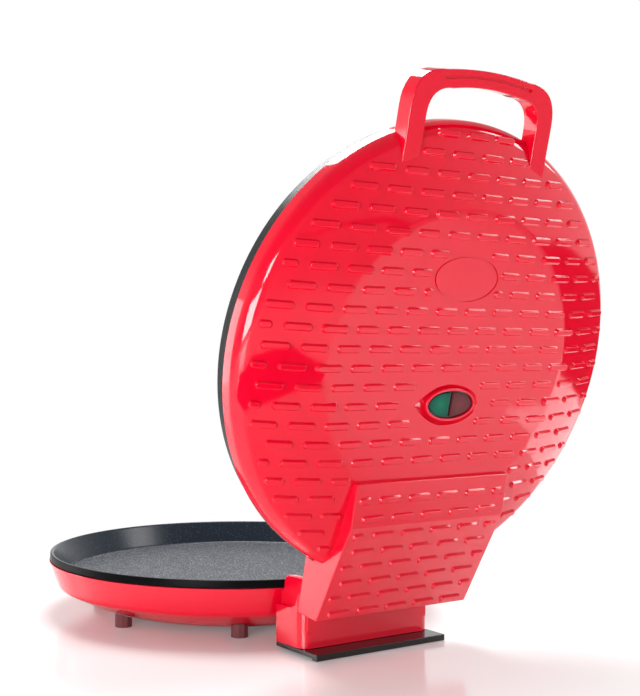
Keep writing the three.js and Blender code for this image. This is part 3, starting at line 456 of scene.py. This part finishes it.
def base_housing():
    block = solid(crosswise(block_saddle, -block_half_width, block_half_width))
    for side in (-1, 1):
        cheek_span = sorted((side * cheek_inside, side * block_half_width))
        combined(block, crosswise(block_cheek, *cheek_span), "UNION")
    combined(block, crosswise(block_stop, -stop_half_width, stop_half_width), "UNION")
    combined(block, upright(block_plan, 4, 46), "INTERSECT")
    body = solid(turned([*bowl_outside, bowl_inside[0], (0, lip_height)]))
    bm = bmesh.new()
    bm.from_mesh(block.data)
    bpy.data.objects.remove(block)
    combined(body, bm, "UNION")
    for side in (-1, 1):
        ear = crosswise(ear_outline, *sorted((side * cheek_inside, side * ear_outside)))
        combined(body, rounded(ear, ear_edge, 40), "UNION")
    combined(body, turned([*reversed(bowl_inside), (lip_inside, 46), (0, 46)]), "DIFFERENCE")
    above_lip = [(0, lip_height), (lip_outside, lip_height), (lip_outside, 70), (0, 70)]
    combined(body, turned(above_lip), "DIFFERENCE")
    combined(body, crosswise(wide_room, -wide_half, wide_half), "DIFFERENCE")
    combined(body, crosswise(middle_room, -middle_half, middle_half), "DIFFERENCE")
    finished(body, "red_base_housing", red_abs, "base", ["base_housing"])


base_housing()

# Pan: a cast aluminium plate with a sprayed non-stick coat. Its sloping wall turns over
# into a smooth black band that stands on the housing's lip.


def speckled_non_stick(name, base_colour, fleck_colour, fleck_share, dullness, peel_depth):
    # PTFE coat on cast aluminium: charcoal with pale mica flecks that catch the light.
    material = new_material(name)
    tree = material.node_tree
    where = add_node(tree, "ShaderNodeTexCoord")
    # Mica flecks are some 0.1 mm wide, too fine to show, so they are drawn about 0.7 mm wide
    cells = add_node(tree, "ShaderNodeTexVoronoi", inputs={
        "Vector": where.outputs["Object"], "Scale": 1500,
    })
    flecks = add_node(tree, "ShaderNodeMapRange", inputs={
        "Value": cells.outputs["Color"], "From Min": 1 - fleck_share, "From Max": 1.0,
    })
    # A colour mix takes its two colours in sockets 6 and 7 and gives the result in output 2
    tint = add_node(tree, "ShaderNodeMix", {"data_type": "RGBA"}, {
        "Factor": flecks.outputs[0], 6: linear(base_colour), 7: linear(fleck_colour),
    })
    # Orange peel of the sprayed coat, some 0.7 mm across
    peel = add_node(tree, "ShaderNodeTexNoise", inputs={
        "Vector": where.outputs["Object"], "Scale": 1400, "Detail": 2, "Roughness": 0.6,
    })
    rough = add_node(tree, "ShaderNodeBump", inputs={
        "Height": peel.outputs[0], "Strength": 0.35, "Distance": peel_depth,
    })
    coat = add_node(tree, "ShaderNodeBsdfPrincipled", inputs={
        "Base Color": tint.outputs[2],
        "Roughness": dullness,
        "IOR": 1.32,
        "Normal": rough.outputs[0],
    })
    add_node(tree, "ShaderNodeOutputMaterial", inputs={"Surface": coat.outputs[0]})
    return material


def black_enamel():
    # Baked enamel round the rim: near black and smooth, with a soft gloss.
    material = new_material("baked_black_enamel")
    tree = material.node_tree
    where = add_node(tree, "ShaderNodeTexCoord")
    # Spray marks some 4 mm across change the gloss a little
    marks = add_node(tree, "ShaderNodeTexNoise", inputs={
        "Vector": where.outputs["Object"], "Scale": 250, "Detail": 3,
    })
    dullness = add_node(tree, "ShaderNodeMapRange", inputs={
        "Value": marks.outputs[0], "From Min": 0.3, "From Max": 0.7, "To Min": 0.3, "To Max": 0.4,
    })
    enamel = add_node(tree, "ShaderNodeBsdfPrincipled", inputs={
        "Base Color": linear("#0C0C0E"),
        "Roughness": dullness.outputs[0],
        "Specular IOR Level": 0.08,
        "IOR": 1.35,
    })
    add_node(tree, "ShaderNodeOutputMaterial", inputs={"Surface": enamel.outputs[0]})
    return material


pan_floor_coat = speckled_non_stick(
    "speckled_non_stick", "#2B2D32", "#C4CAD4", fleck_share=0.35, dullness=0.5, peel_depth=0.0002,
)
# The wall's copy of the coat is smoother; its darker, bluer ground and dim flecks are painted shade
wall_coat_painted_shade = speckled_non_stick(
    "smooth_non_stick_painted_shade", "#262D37", "#55606E", fleck_share=0.2, dullness=0.24, peel_depth=0.00005,
)
rim_enamel = black_enamel()
pan_profile = [
    (0, 30.9), (146.8, 30.9), (147.9, 31.05), (148.6, 31.6), (149.1, 32.5),
    (156.9, 48.5), (157.3, 49.4), (157.9, 49.9), (158.6, rim_height), (159.2, rim_height),
    (159.8, 49.8), (160.1, 49.3), (160.4, 45), (160.3, 44.6), (159.9, 44.5), (158.0, 44.5),
    (157.4, 44.1), (150.6, 29.4), (149.5, 28.4), (148.2, 28.3), (0, 28.3),
]
pan_wall_start = 147.4
pan_band_start = 158.9


def coated_plate(profile, name, ride_on, replaced, place, wall_radius, band_radius):
    """A turned plate with its floor, its wall and its outer band in three coats; the wall's is the
    floor's coat darkened with painted shade.
    """
    plate = finished(
        solid(turned(profile)), name, pan_floor_coat, ride_on, replaced, place,
    )
    plate.data.materials.append(wall_coat_painted_shade)
    plate.data.materials.append(rim_enamel)
    back = place.inverted()
    for face in plate.data.polygons:
        radius = (back @ face.center).xy.length / MM
        face.material_index = 2 if radius > band_radius else 1 if radius > wall_radius else 0


coated_plate(
    pan_profile, "coated_pan", "base", ["lower_plate"], base_place, pan_wall_start, pan_band_start,
)

# Heating parts of the base: a tube heater under the pan, held by straps over a sheet steel
# heat shield, with a thermostat, a thermal fuse and a ceramic terminal block.


def refinish(material, *names):
    """Gives CAD nodes a better material."""
    for name in names:
        for slot in frame["nodes"][name].material_slots:
            slot.material = material


def worked_metal(name, colour, dullness, mark_scale, mark_depth):
    # Bare or plated metal: even colour, with rolling or tumbling marks that break its gloss.
    material = new_material(name)
    tree = material.node_tree
    where = add_node(tree, "ShaderNodeTexCoord")
    marks = add_node(tree, "ShaderNodeTexNoise", inputs={
        "Vector": where.outputs["Object"], "Scale": mark_scale, "Detail": 3, "Roughness": 0.6,
    })
    gloss = add_node(tree, "ShaderNodeMapRange", inputs={
        "Value": marks.outputs[0], "From Min": 0.3, "From Max": 0.7,
        "To Min": dullness - 0.08, "To Max": dullness + 0.08,
    })
    uneven = add_node(tree, "ShaderNodeBump", inputs={
        "Height": marks.outputs[0], "Strength": 0.3, "Distance": mark_depth,
    })
    metal = add_node(tree, "ShaderNodeBsdfPrincipled", inputs={
        "Base Color": linear(colour),
        "Metallic": 1.0,
        "Roughness": gloss.outputs[0],
        "Normal": uneven.outputs[0],
    })
    add_node(tree, "ShaderNodeOutputMaterial", inputs={"Surface": metal.outputs[0]})
    return material


def fired_ceramic():
    # Steatite: unglazed off-white, with pores some 0.5 mm wide.
    material = new_material("unglazed_steatite")
    tree = material.node_tree
    where = add_node(tree, "ShaderNodeTexCoord")
    pores = add_node(tree, "ShaderNodeTexNoise", inputs={
        "Vector": where.outputs["Object"], "Scale": 2000, "Detail": 2,
    })
    pitted = add_node(tree, "ShaderNodeBump", inputs={
        "Height": pores.outputs[0], "Strength": 0.4, "Distance": 0.0001,
    })
    steatite = add_node(tree, "ShaderNodeBsdfPrincipled", inputs={
        "Base Color": linear("#E6E0D2"),
        "Roughness": 0.65,
        "IOR": 1.55,
        "Normal": pitted.outputs[0],
    })
    add_node(tree, "ShaderNodeOutputMaterial", inputs={"Surface": steatite.outputs[0]})
    return material


# Heat tints the heater's steel tube dark, in blotches some 6 mm long
element_steel = worked_metal("heat_darkened_steel", "#6B6865", 0.45, 160, 0.00005)
# Rolled sheet has marks some 1 mm wide
sheet_steel = worked_metal("rolled_sheet_steel", "#C6C9CD", 0.35, 900, 0.00003)
# Tumbled and zinc-plated small parts have dents some 0.5 mm wide
zinc_steel = worked_metal("zinc_plated_steel", "#B6B9BE", 0.28, 1800, 0.00003)
steatite = fired_ceramic()
refinish(element_steel, "lower_heating_element")
refinish(sheet_steel, "lower_heat_shield", *(f"lower_element_clip_{n}" for n in (1, 2, 3)))
refinish(steatite, "lower_thermostat", "terminal_block")
refinish(zinc_steel, "thermal_fuse", *(f"base_screw_{n}" for n in (1, 2, 3, 4)))

# Rear foot plate: a satin black moulding that closes the hinge block from below and
# reaches back as a bar, so that the open lid can't tip the cooker.


def satin_black_moulding(name, colour, dullness):
    # Glass-filled nylon: near black, with a fine even grain from an etched mould.
    material = new_material(name)
    tree = material.node_tree
    where = add_node(tree, "ShaderNodeTexCoord")
    # Etched grain is some 0.3 mm wide, drawn 0.8 mm wide to show
    grain = add_node(tree, "ShaderNodeTexNoise", inputs={
        "Vector": where.outputs["Object"], "Scale": 1200, "Detail": 2, "Roughness": 0.5,
    })
    grained = add_node(tree, "ShaderNodeBump", inputs={
        "Height": grain.outputs[0], "Strength": 0.2, "Distance": 0.0002,
    })
    plastic = add_node(tree, "ShaderNodeBsdfPrincipled", inputs={
        "Base Color": linear(colour),
        "Roughness": dullness,
        "IOR": 1.5,
        "Normal": grained.outputs[0],
    })
    add_node(tree, "ShaderNodeOutputMaterial", inputs={"Surface": plastic.outputs[0]})
    return material


satin_black = satin_black_moulding("satin_black_nylon", "#100E0F", 0.16)
plate_section = [
    (block_front, 1.5), (198.7, 1.5), (198.7, 0), (204.7, 0), (204.7, 4.7), (block_front, 4.7),
]
plate_edge = 0.5
foot_plate = rounded(crosswise(plate_section, -block_half_width, block_half_width), plate_edge)
finished(
    solid(foot_plate), "black_foot_plate", satin_black, "base",
    ["rear_foot_plate"],
)
refinish(zinc_steel, "foot_plate_screw_right", "foot_plate_screw_left")

# Feet: six moulded rubber stubs pressed into the slope of the bowl. The real ones are a
# dull brown; the red in their colour is painted reflection of the red bowl above them.
# Dull brown rubber, with the bowl's red mirrored in it painted into its colour
foot_rubber_with_painted_red = satin_black_moulding("moulded_foot_rubber", "#6E3A3E", 0.75)
refinish(
    foot_rubber_with_painted_red, "foot_right", "foot_rear_right", "foot_rear_left", "foot_left",
    "foot_front_left", "foot_front_right",
)

# Cord gland: a flanged bush of black nylon, pressed into the left cheek of the block, with
# the same etched grain as the foot plate.
refinish(satin_black, "cord_gland")

# Hinge: two plated steel pins in blind bores of the ears, which turn in white nylon bushes
# in the lid's arms.


def moulded_nylon():
    # Unfilled nylon: milky white, with light passing a little way in.
    material = new_material("natural_nylon")
    tree = material.node_tree
    where = add_node(tree, "ShaderNodeTexCoord")
    # Shrinkage clouds some 3 mm across
    clouds = add_node(tree, "ShaderNodeTexNoise", inputs={
        "Vector": where.outputs["Object"], "Scale": 330, "Detail": 2,
    })
    dullness = add_node(tree, "ShaderNodeMapRange", inputs={
        "Value": clouds.outputs[0], "From Min": 0.3, "From Max": 0.7, "To Min": 0.38, "To Max": 0.5,
    })
    nylon = add_node(tree, "ShaderNodeBsdfPrincipled", inputs={
        "Base Color": linear("#DEDBD2"),
        "Roughness": dullness.outputs[0],
        "IOR": 1.53,
    })
    add_node(tree, "ShaderNodeOutputMaterial", inputs={"Surface": nylon.outputs[0]})
    return material


refinish(zinc_steel, "hinge_pin_right", "hinge_pin_left")
refinish(moulded_nylon(), "hinge_bush_right", "hinge_bush_left")

# Lid cover: a second red ABS moulding, drawn shut and then turned open with the hinge.
# Its dome runs into a hollow tail, and rows of raised bars cover dome and tail.
open_angle = math.radians(-104)
open_place = (
    Matrix.Translation(hinge_point)
    @ Matrix.Rotation(open_angle, 4, "X")
    @ Matrix.Translation((0, -hinge_y * MM, (rim_height - hinge_z) * MM))
)
disc_height = 46.5
disc_radius = 104
disc_under = 44
cover_edge = 14.7
dome_outside = [
    (0, disc_height), (disc_radius, disc_height), (105.8, 46.42), (107.6, 46.17), (109.4, 45.8),
    (120, 43.6), (130, 41.3), (140, 38.7), (148.5, 36.0),
    (155.8, 33.3), (158, 32.5), (159.8, 31.2), (161.3, 29.6), (162.8, 27.6), (164, 25.2),
    (164.5, 22.5), (164.5, 15.1), (164.1, cover_edge),
]
dome_inside = [
    (162.3, cover_edge), (162.0, 15.1), (162.0, 22.3), (158.8, 27.6), (155.0, 30.2), (146, 33.6),
    (108.8, 43.3), (disc_radius, disc_under), (0, disc_under),
]
tail_half_width = 69.3
tail_hollow_half = 66.8
tail_edge = 0.9
tail_start, tail_start_height = 82.4, 50.2
tail_ridge, tail_ridge_height = 113.2, 51.4
tail_end, tail_end_height = 191.5, 28.5
tail_outline = [
    (tail_start, cover_edge), (tail_start, tail_start_height), (tail_ridge, tail_ridge_height),
    (tail_end, tail_end_height), (194, 5), (151, 5), (151, cover_edge),
]
tail_hollow = [(97.4, 25), (97.4, 44), (138.5, 44), (189, 26.6), (191.5, -1), (97.4, -1)]


def oval(half_length, half_width, x, y, steps=64):
    """Points on an oval that lies flat."""
    turns = [2 * math.pi * step / steps for step in range(steps)]
    return [(x + half_length * math.cos(turn), y + half_width * math.sin(turn)) for turn in turns]


def lemon(x, y, half_length, half_width, depth):
    """A spindle that lies along x, pointed towards +x and blunt towards -x."""
    bm = bmesh.new()
    steps = 24
    ridge = []
    for step in range(steps + 1):
        share = -1 + 2 * step / steps
        swell = math.sqrt(1 - share ** 2) if share < 0 else (1 - share ** 2)
        ridge.append(bm.verts.new((share * half_length, swell * half_width, 0)))
    edges = [bm.edges.new(pair) for pair in zip(ridge, ridge[1:])]
    bmesh.ops.spin(bm, geom=ridge + edges, cent=(0, 0, 0), axis=(1, 0, 0), angle=2 * math.pi,
                   steps=64, use_merge=True)
    bmesh.ops.remove_doubles(bm, verts=bm.verts, dist=0.001)
    bmesh.ops.recalc_face_normals(bm, faces=bm.faces)
    bmesh.ops.scale(bm, vec=(1, 1, depth / half_width), verts=bm.verts)
    bmesh.ops.translate(bm, vec=(x, y, disc_height), verts=bm.verts)
    return bm


def ring_groove(half_length, half_width, x, y, width, depth):
    """An oval ring that cuts a groove into the flat disc."""
    outer_edge = oval(half_length, half_width, x, y, 96)
    inner_edge = oval(half_length - width, half_width - width, x, y, 96)
    ring = solid(upright(outer_edge, disc_height - depth, disc_height + 2))
    combined(ring, upright(inner_edge, disc_height - 4, disc_height + 4), "DIFFERENCE")
    groove = bmesh.new()
    groove.from_mesh(ring.data)
    bpy.data.objects.remove(ring)
    return groove


badge_place = (0, -60)
badge_half = (28.6, 16)
badge_groove_width = 1.2
badge_groove_depth = 0.8
dish_place = (-0.85, 29.4)
dish_half = (28.9, 14.8)
dish_depth = 5
sill_place = (0, 29.5)
sill_half = (33, 19)
window_place = (-5.5, 29.5)
window_half = (20.7, 10.2)
window_lip = 1.9


def lid_cover():
    body = solid(turned([*dome_outside, dome_inside[0], (0, cover_edge)]))
    tail = rounded(crosswise(tail_outline, -tail_half_width, tail_half_width), tail_edge, 15)
    combined(body, tail, "UNION")
    hollow = [(0, disc_under), *reversed(dome_inside[:-1]), (162.3, 8), (0, 8)]
    combined(body, turned(hollow), "DIFFERENCE")
    combined(body, crosswise(tail_hollow, -tail_hollow_half, tail_hollow_half), "DIFFERENCE")
    # A thicker floor under the dish, so that the dish doesn't cut through the cover
    combined(body, upright(oval(*sill_half, *sill_place), 39.4, 45), "UNION")
    combined(body, lemon(*dish_place, *dish_half, dish_depth), "DIFFERENCE")
    lip_edge = oval(window_half[0] + window_lip, window_half[1] + window_lip, *window_place)
    combined(body, rounded(upright(lip_edge, 39.6, 46.1), 0.8, 60), "UNION")
    combined(body, upright(oval(*window_half, *window_place), 30, 60), "DIFFERENCE")
    groove = ring_groove(*badge_half, *badge_place, badge_groove_width, badge_groove_depth)
    combined(body, groove, "DIFFERENCE")
    finished(body, "red_lid_cover", red_abs, "lid", ["lid_cover"], open_place)


lid_cover()

# Raised bars: ribs moulded in one piece with the cover, in rows that are shifted by half
# a step. They stop short of the face's edge, the badge, the lamp window and the handle.
bar_step = 25.88
bar_columns = range(-7, 8)
row_step = 13.12
bar_rows = range(-10, 17)
first_row = -23.55
bar_half_length = 10
bar_radius = 2.85
bar_height = 1.8
bar_root = 2
bar_draft = 0.6
bar_edge = 0.35
shortest_bar = 4.2
face_radius = 157
top_row_radius = 158.6
top_row_y = -150
badge_margin = (2.5, 4)
dish_margin = (5, 4)
dome_rows_end = 78
tail_margin = 2.5
tail_edge_margin = 3
handle_leg_end = -132
handle_leg_span = (47.8, 65.2)


def dome_height(radius):
    """How high the dome's outside stands at a radius."""
    for (r0, h0), (r1, h1) in zip(dome_outside, dome_outside[1:]):
        if r0 <= radius <= r1:
            return h0 + (h1 - h0) * (radius - r0) / (r1 - r0)
    return dome_outside[-1][1]


def tail_height(y):
    """How high the tail's outside stands at a y."""
    if y < tail_ridge:
        share = (y - tail_start) / (tail_ridge - tail_start)
        return tail_start_height + (tail_ridge_height - tail_start_height) * share
    share = (y - tail_ridge) / (tail_end - tail_ridge)
    return tail_ridge_height + (tail_end_height - tail_ridge_height) * share


def raised_bar(bm, from_x, to_x, y, height_at):
    """One rib with round ends, sunk a little into the surface that it stands on."""
    middle = (from_x + to_x) / 2
    half = (to_x - from_x) / 2
    radius = min(bar_radius, half)
    root_radius = radius + bar_draft * bar_root
    # The circle is turned by half a segment, so no vertex of it lies midway along the bar
    end = bmesh.ops.create_circle(bm, cap_ends=True, segments=12, radius=root_radius,
                                  matrix=Matrix.Rotation(math.radians(15), 4, "Z"))["verts"]
    floor = end[0].link_faces[0]
    grown = bmesh.ops.extrude_face_region(bm, geom=[floor])["geom"]
    top = [part for part in grown if isinstance(part, bmesh.types.BMVert)]
    taper = (radius - bar_draft * bar_height) / root_radius
    bmesh.ops.scale(bm, verts=top, vec=(taper, taper, 1))
    bmesh.ops.translate(bm, verts=top, vec=(0, 0, bar_height + bar_root))
    stretch = half - radius
    for vert in [*end, *top]:
        vert.co.x += stretch if vert.co.x > 0 else -stretch
    crown = [part for part in grown if isinstance(part, bmesh.types.BMFace)][0]
    softened = bmesh.ops.bevel(bm, geom=list(crown.edges), offset=bar_edge, offset_type="OFFSET",
                               affect="EDGES", segments=2, profile=0.5, material=-1)
    made = set(end) | set(top) | set(softened["verts"])
    made = [vert for vert in made if vert.is_valid]
    reach = 1.5
    fall_x = (height_at(middle + reach, y) - height_at(middle - reach, y)) / (2 * reach)
    fall_y = (height_at(middle, y + reach) - height_at(middle, y - reach)) / (2 * reach)
    normal = Vector((-fall_x, -fall_y, 1)).normalized()
    tilt = Vector((0, 0, 1)).rotation_difference(normal).to_matrix().to_4x4()
    surface = Matrix.Translation((middle, y, height_at(middle, y)))
    seat = surface @ tilt @ Matrix.Translation((0, 0, -bar_root))
    bmesh.ops.transform(bm, matrix=seat, verts=made)


def inside_oval(x, y, middle, half, margin):
    """Whether a point lies in an oval that is widened by a margin."""
    across = (x - middle[0]) / (half[0] + margin[0])
    along = (y - middle[1]) / (half[1] + margin[1])
    return across ** 2 + along ** 2 < 1


def clear_stretch(from_x, to_x, blocked):
    """The longest part of a bar that nothing blocks, or None."""
    tries = 48
    best, run = [], []
    for step in range(tries + 1):
        x = from_x + (to_x - from_x) * step / tries
        if blocked(x):
            run = []
        else:
            run.append(x)
            if len(run) > len(best):
                best = list(run)
    return (best[0], best[-1]) if best and best[-1] - best[0] > shortest_bar else None


def raised_bars():
    bm = bmesh.new()
    for row in bar_rows:
        y = first_row + row_step * row
        reach = top_row_radius if y < top_row_y else face_radius

        def blocked_on_dome(x):
            return (
                math.hypot(x, y) > reach
                or inside_oval(x, y, badge_place, badge_half, badge_margin)
                or inside_oval(x, y, dish_place, dish_half, dish_margin)
                or (y > dome_rows_end and abs(x) < tail_half_width + tail_margin)
                or (y < handle_leg_end and handle_leg_span[0] < abs(x) < handle_leg_span[1])
            )

        def blocked_on_tail(x):
            return abs(x) > tail_half_width - tail_edge_margin

        shift = bar_step / 2 if row % 2 else 0
        for column in bar_columns:
            x = shift + bar_step * column
            span = clear_stretch(x - bar_half_length, x + bar_half_length, blocked_on_dome)
            if span:
                raised_bar(bm, *span, y, lambda u, v: dome_height(math.hypot(u, v)))
            if y > tail_start:
                span = clear_stretch(x - bar_half_length, x + bar_half_length, blocked_on_tail)
                if span:
                    raised_bar(bm, *span, y, lambda u, v: tail_height(v))
    bmesh.ops.recalc_face_normals(bm, faces=bm.faces)
    finished(solid(bm), "red_raised_bars", red_abs, "lid", (), open_place)


raised_bars()

# Upper plate: a shallow cast dish with the same coat. Its dark rim shows as a thin band
# round the edge of the open lid.
upper_profile = [
    (0, 12), (146.8, 12), (148.4, 11.6), (157.0, 1.1), (158.2, 0.6), (159.4, 0.6), (160.2, 1.1),
    (163.8, 14.0), (163.6, 14.4), (161, 14.4), (158.4, 4.9), (151.1, 14.6), (0, 14.6),
]
upper_wall_start = 147.5
upper_band_start = 157.5
coated_plate(
    upper_profile, "coated_upper_plate", "lid", ["upper_plate"], open_place,
    upper_wall_start, upper_band_start,
)

# Heating parts of the lid: the same heater, shield, straps and thermostat as in the base,
# screwed up under the cover.
refinish(element_steel, "upper_heating_element")
refinish(sheet_steel, "upper_heat_shield", *(f"upper_element_clip_{n}" for n in (1, 2, 3)))
refinish(steatite, "upper_thermostat")

# Inner cover of the tail: a black nylon moulding with the hinge arms and the stop ribs,
# held up by two screws.
refinish(satin_black, "tail_inner_cover")
refinish(zinc_steel, "tail_screw_right", "tail_screw_left")

# Handle: an arch in two red ABS halves, screwed together from below. The outer half has
# a shallow slot that follows its crown.


def arch(half_width, reach, crown, corner, end_y):
    """An outline from above: two legs, round corners and a crown that bulges a little."""
    def curve(start, pull, end, steps):
        points = []
        for step in range(steps + 1):
            t = step / steps
            points.append(tuple(
                (1 - t) ** 2 * a + 2 * t * (1 - t) * b + t ** 2 * c
                for a, b, c in zip(start, pull, end)
            ))
        return points

    top = -reach + crown
    return [
        (half_width, end_y),
        *curve((half_width, top + corner), (half_width, top), (half_width - corner, top), 10),
        *curve((half_width - corner, top), (0, -reach - crown / 3),
               (corner - half_width, top), 24)[1:],
        *curve((corner - half_width, top), (-half_width, top),
               (-half_width, top + corner), 10)[1:],
        (-half_width, end_y),
    ]


leg_end = -118
handle_outline = [
    *arch(63.5, 199.6, 4, 27, leg_end),
    *reversed(arch(49.5, 188, 4, 20, leg_end)),
]
handle_low, handle_middle, handle_high = 23, 29.75, 36.5
handle_edge = 0.8
slot_depth = 1.5
slot_width = 2
slot_narrowing = 0.97


def handle_half(from_z, to_z, outer_z):
    """One half, with only its outer edges rounded, so that the halves close up."""
    bm = upright(handle_outline, from_z, to_z)
    outer = [
        e for e in bm.edges
        if all(abs(vert.co.z - outer_z) < 0.01 for vert in e.verts)
        and e.calc_face_angle() > math.radians(50)
    ]
    bmesh.ops.bevel(bm, geom=outer, offset=handle_edge, offset_type="OFFSET", affect="EDGES",
                    segments=4, profile=0.5, material=-1, clamp_overlap=True)
    return bm


def handle():
    body = solid(handle_half(handle_middle, handle_high, handle_high))
    slot_top = [
        (39.2, -190.9), (26.8, -193.0), (13.8, -194.1), (0, -194.6),
        (-13.8, -194.3), (-27.4, -193.2), (-39.6, -191.1),
    ]
    slot_low = [(x * slot_narrowing, y + slot_width) for x, y in reversed(slot_top)]
    slot = upright([*slot_top, *slot_low], handle_high - slot_depth, 40)
    combined(body, slot, "DIFFERENCE")
    finished(body, "red_handle_outer", red_abs, "lid", ["handle_outer"], open_place)
    inner = solid(handle_half(handle_low, handle_middle, handle_low))
    finished(inner, "red_handle_inner", red_abs, "lid", ["handle_inner"], open_place)


handle()
refinish(
    zinc_steel, "handle_screw_right", "handle_screw_left",
    "handle_mount_screw_right", "handle_mount_screw_left",
)

# Lamp window: green and red lenses of tinted acrylic, side by side in an oval opening
# with a black holder behind them.


def tinted_acrylic(name, edge_colour, painted_glow_colour, middle):
    # Cast acrylic with a ribbed back, dark at its edge; the lighter middle, where the lamp sits, is
    # a painted glow.
    material = new_material(name)
    tree = material.node_tree
    where = add_node(tree, "ShaderNodeTexCoord")
    # The painted glow fades out 1/90 m, or 11 mm, from the lens's middle
    fade_scale = 90
    centred = add_node(tree, "ShaderNodeMapping", {"vector_type": "POINT"}, {
        "Vector": where.outputs["Object"],
        "Location": tuple(-fade_scale * part for part in middle),
        "Scale": (fade_scale, fade_scale, fade_scale),
    })
    glow = add_node(tree, "ShaderNodeTexGradient", {"gradient_type": "SPHERICAL"}, {
        "Vector": centred.outputs[0],
    })
    tint = add_node(tree, "ShaderNodeMix", {"data_type": "RGBA"}, {
        "Factor": glow.outputs[1], 6: linear(edge_colour), 7: linear(painted_glow_colour),
    })
    acrylic = add_node(tree, "ShaderNodeBsdfPrincipled", inputs={
        "Base Color": tint.outputs[2],
        "Roughness": 0.12,
        "Specular IOR Level": 0.15,
        "IOR": 1.49,
    })
    add_node(tree, "ShaderNodeOutputMaterial", inputs={"Surface": acrylic.outputs[0]})
    return material


lens_half = (19.3, 8.9)
lens_gap = 1.0
lens_low = 42.6
lens_high = 45.6
lens_edge = 0.7
lens_middle = 9


def half_oval(side):
    """The outline of one lens: the part of the oval on its own side of the gap."""
    turn = math.acos(lens_gap / lens_half[0])
    start = -turn if side > 0 else math.pi - turn
    turns = [start + 2 * turn * step / 24 for step in range(25)]
    return [
        (window_place[0] + lens_half[0] * math.cos(a), window_place[1] + lens_half[1] * math.sin(a))
        for a in turns
    ]


# Each lens: its own tint at the edge, and a lighter painted glow in its middle
for side, label, edge_colour, painted_glow_colour in (
    (1, "green", "#06483F", "#047657"),
    (-1, "red", "#57262A", "#76383B"),
):
    lens = rounded(upright(half_oval(side), lens_low, lens_high), lens_edge, 50)
    middle = open_place @ (
        MM * Vector((window_place[0] + side * lens_middle, window_place[1], lens_high))
    )
    lens_acrylic = tinted_acrylic(f"{label}_acrylic", edge_colour, painted_glow_colour, middle)
    finished(
        solid(lens), f"{label}_lens", lens_acrylic, "lid",
        [f"{label}_lamp_lens"], open_place,
    )


def neon_glass():
    # Blown soda glass round a neon lamp: clear and faintly amber, with waves some 2 mm long.
    material = new_material("amber_neon_glass")
    tree = material.node_tree
    where = add_node(tree, "ShaderNodeTexCoord")
    waves = add_node(tree, "ShaderNodeTexNoise", inputs={
        "Vector": where.outputs["Object"], "Scale": 500, "Detail": 1,
    })
    wavy = add_node(tree, "ShaderNodeBump", inputs={
        "Height": waves.outputs[0], "Strength": 0.1, "Distance": 0.0002,
    })
    glass = add_node(tree, "ShaderNodeBsdfPrincipled", inputs={
        "Base Color": linear("#E0B080"),
        "Roughness": 0.05,
        "IOR": 1.5,
        "Transmission Weight": 0.8,
        "Normal": wavy.outputs[0],
    })
    add_node(tree, "ShaderNodeOutputMaterial", inputs={"Surface": glass.outputs[0]})
    return material


refinish(satin_black, "lamp_holder")
refinish(neon_glass(), "neon_lamp_green", "neon_lamp_red")
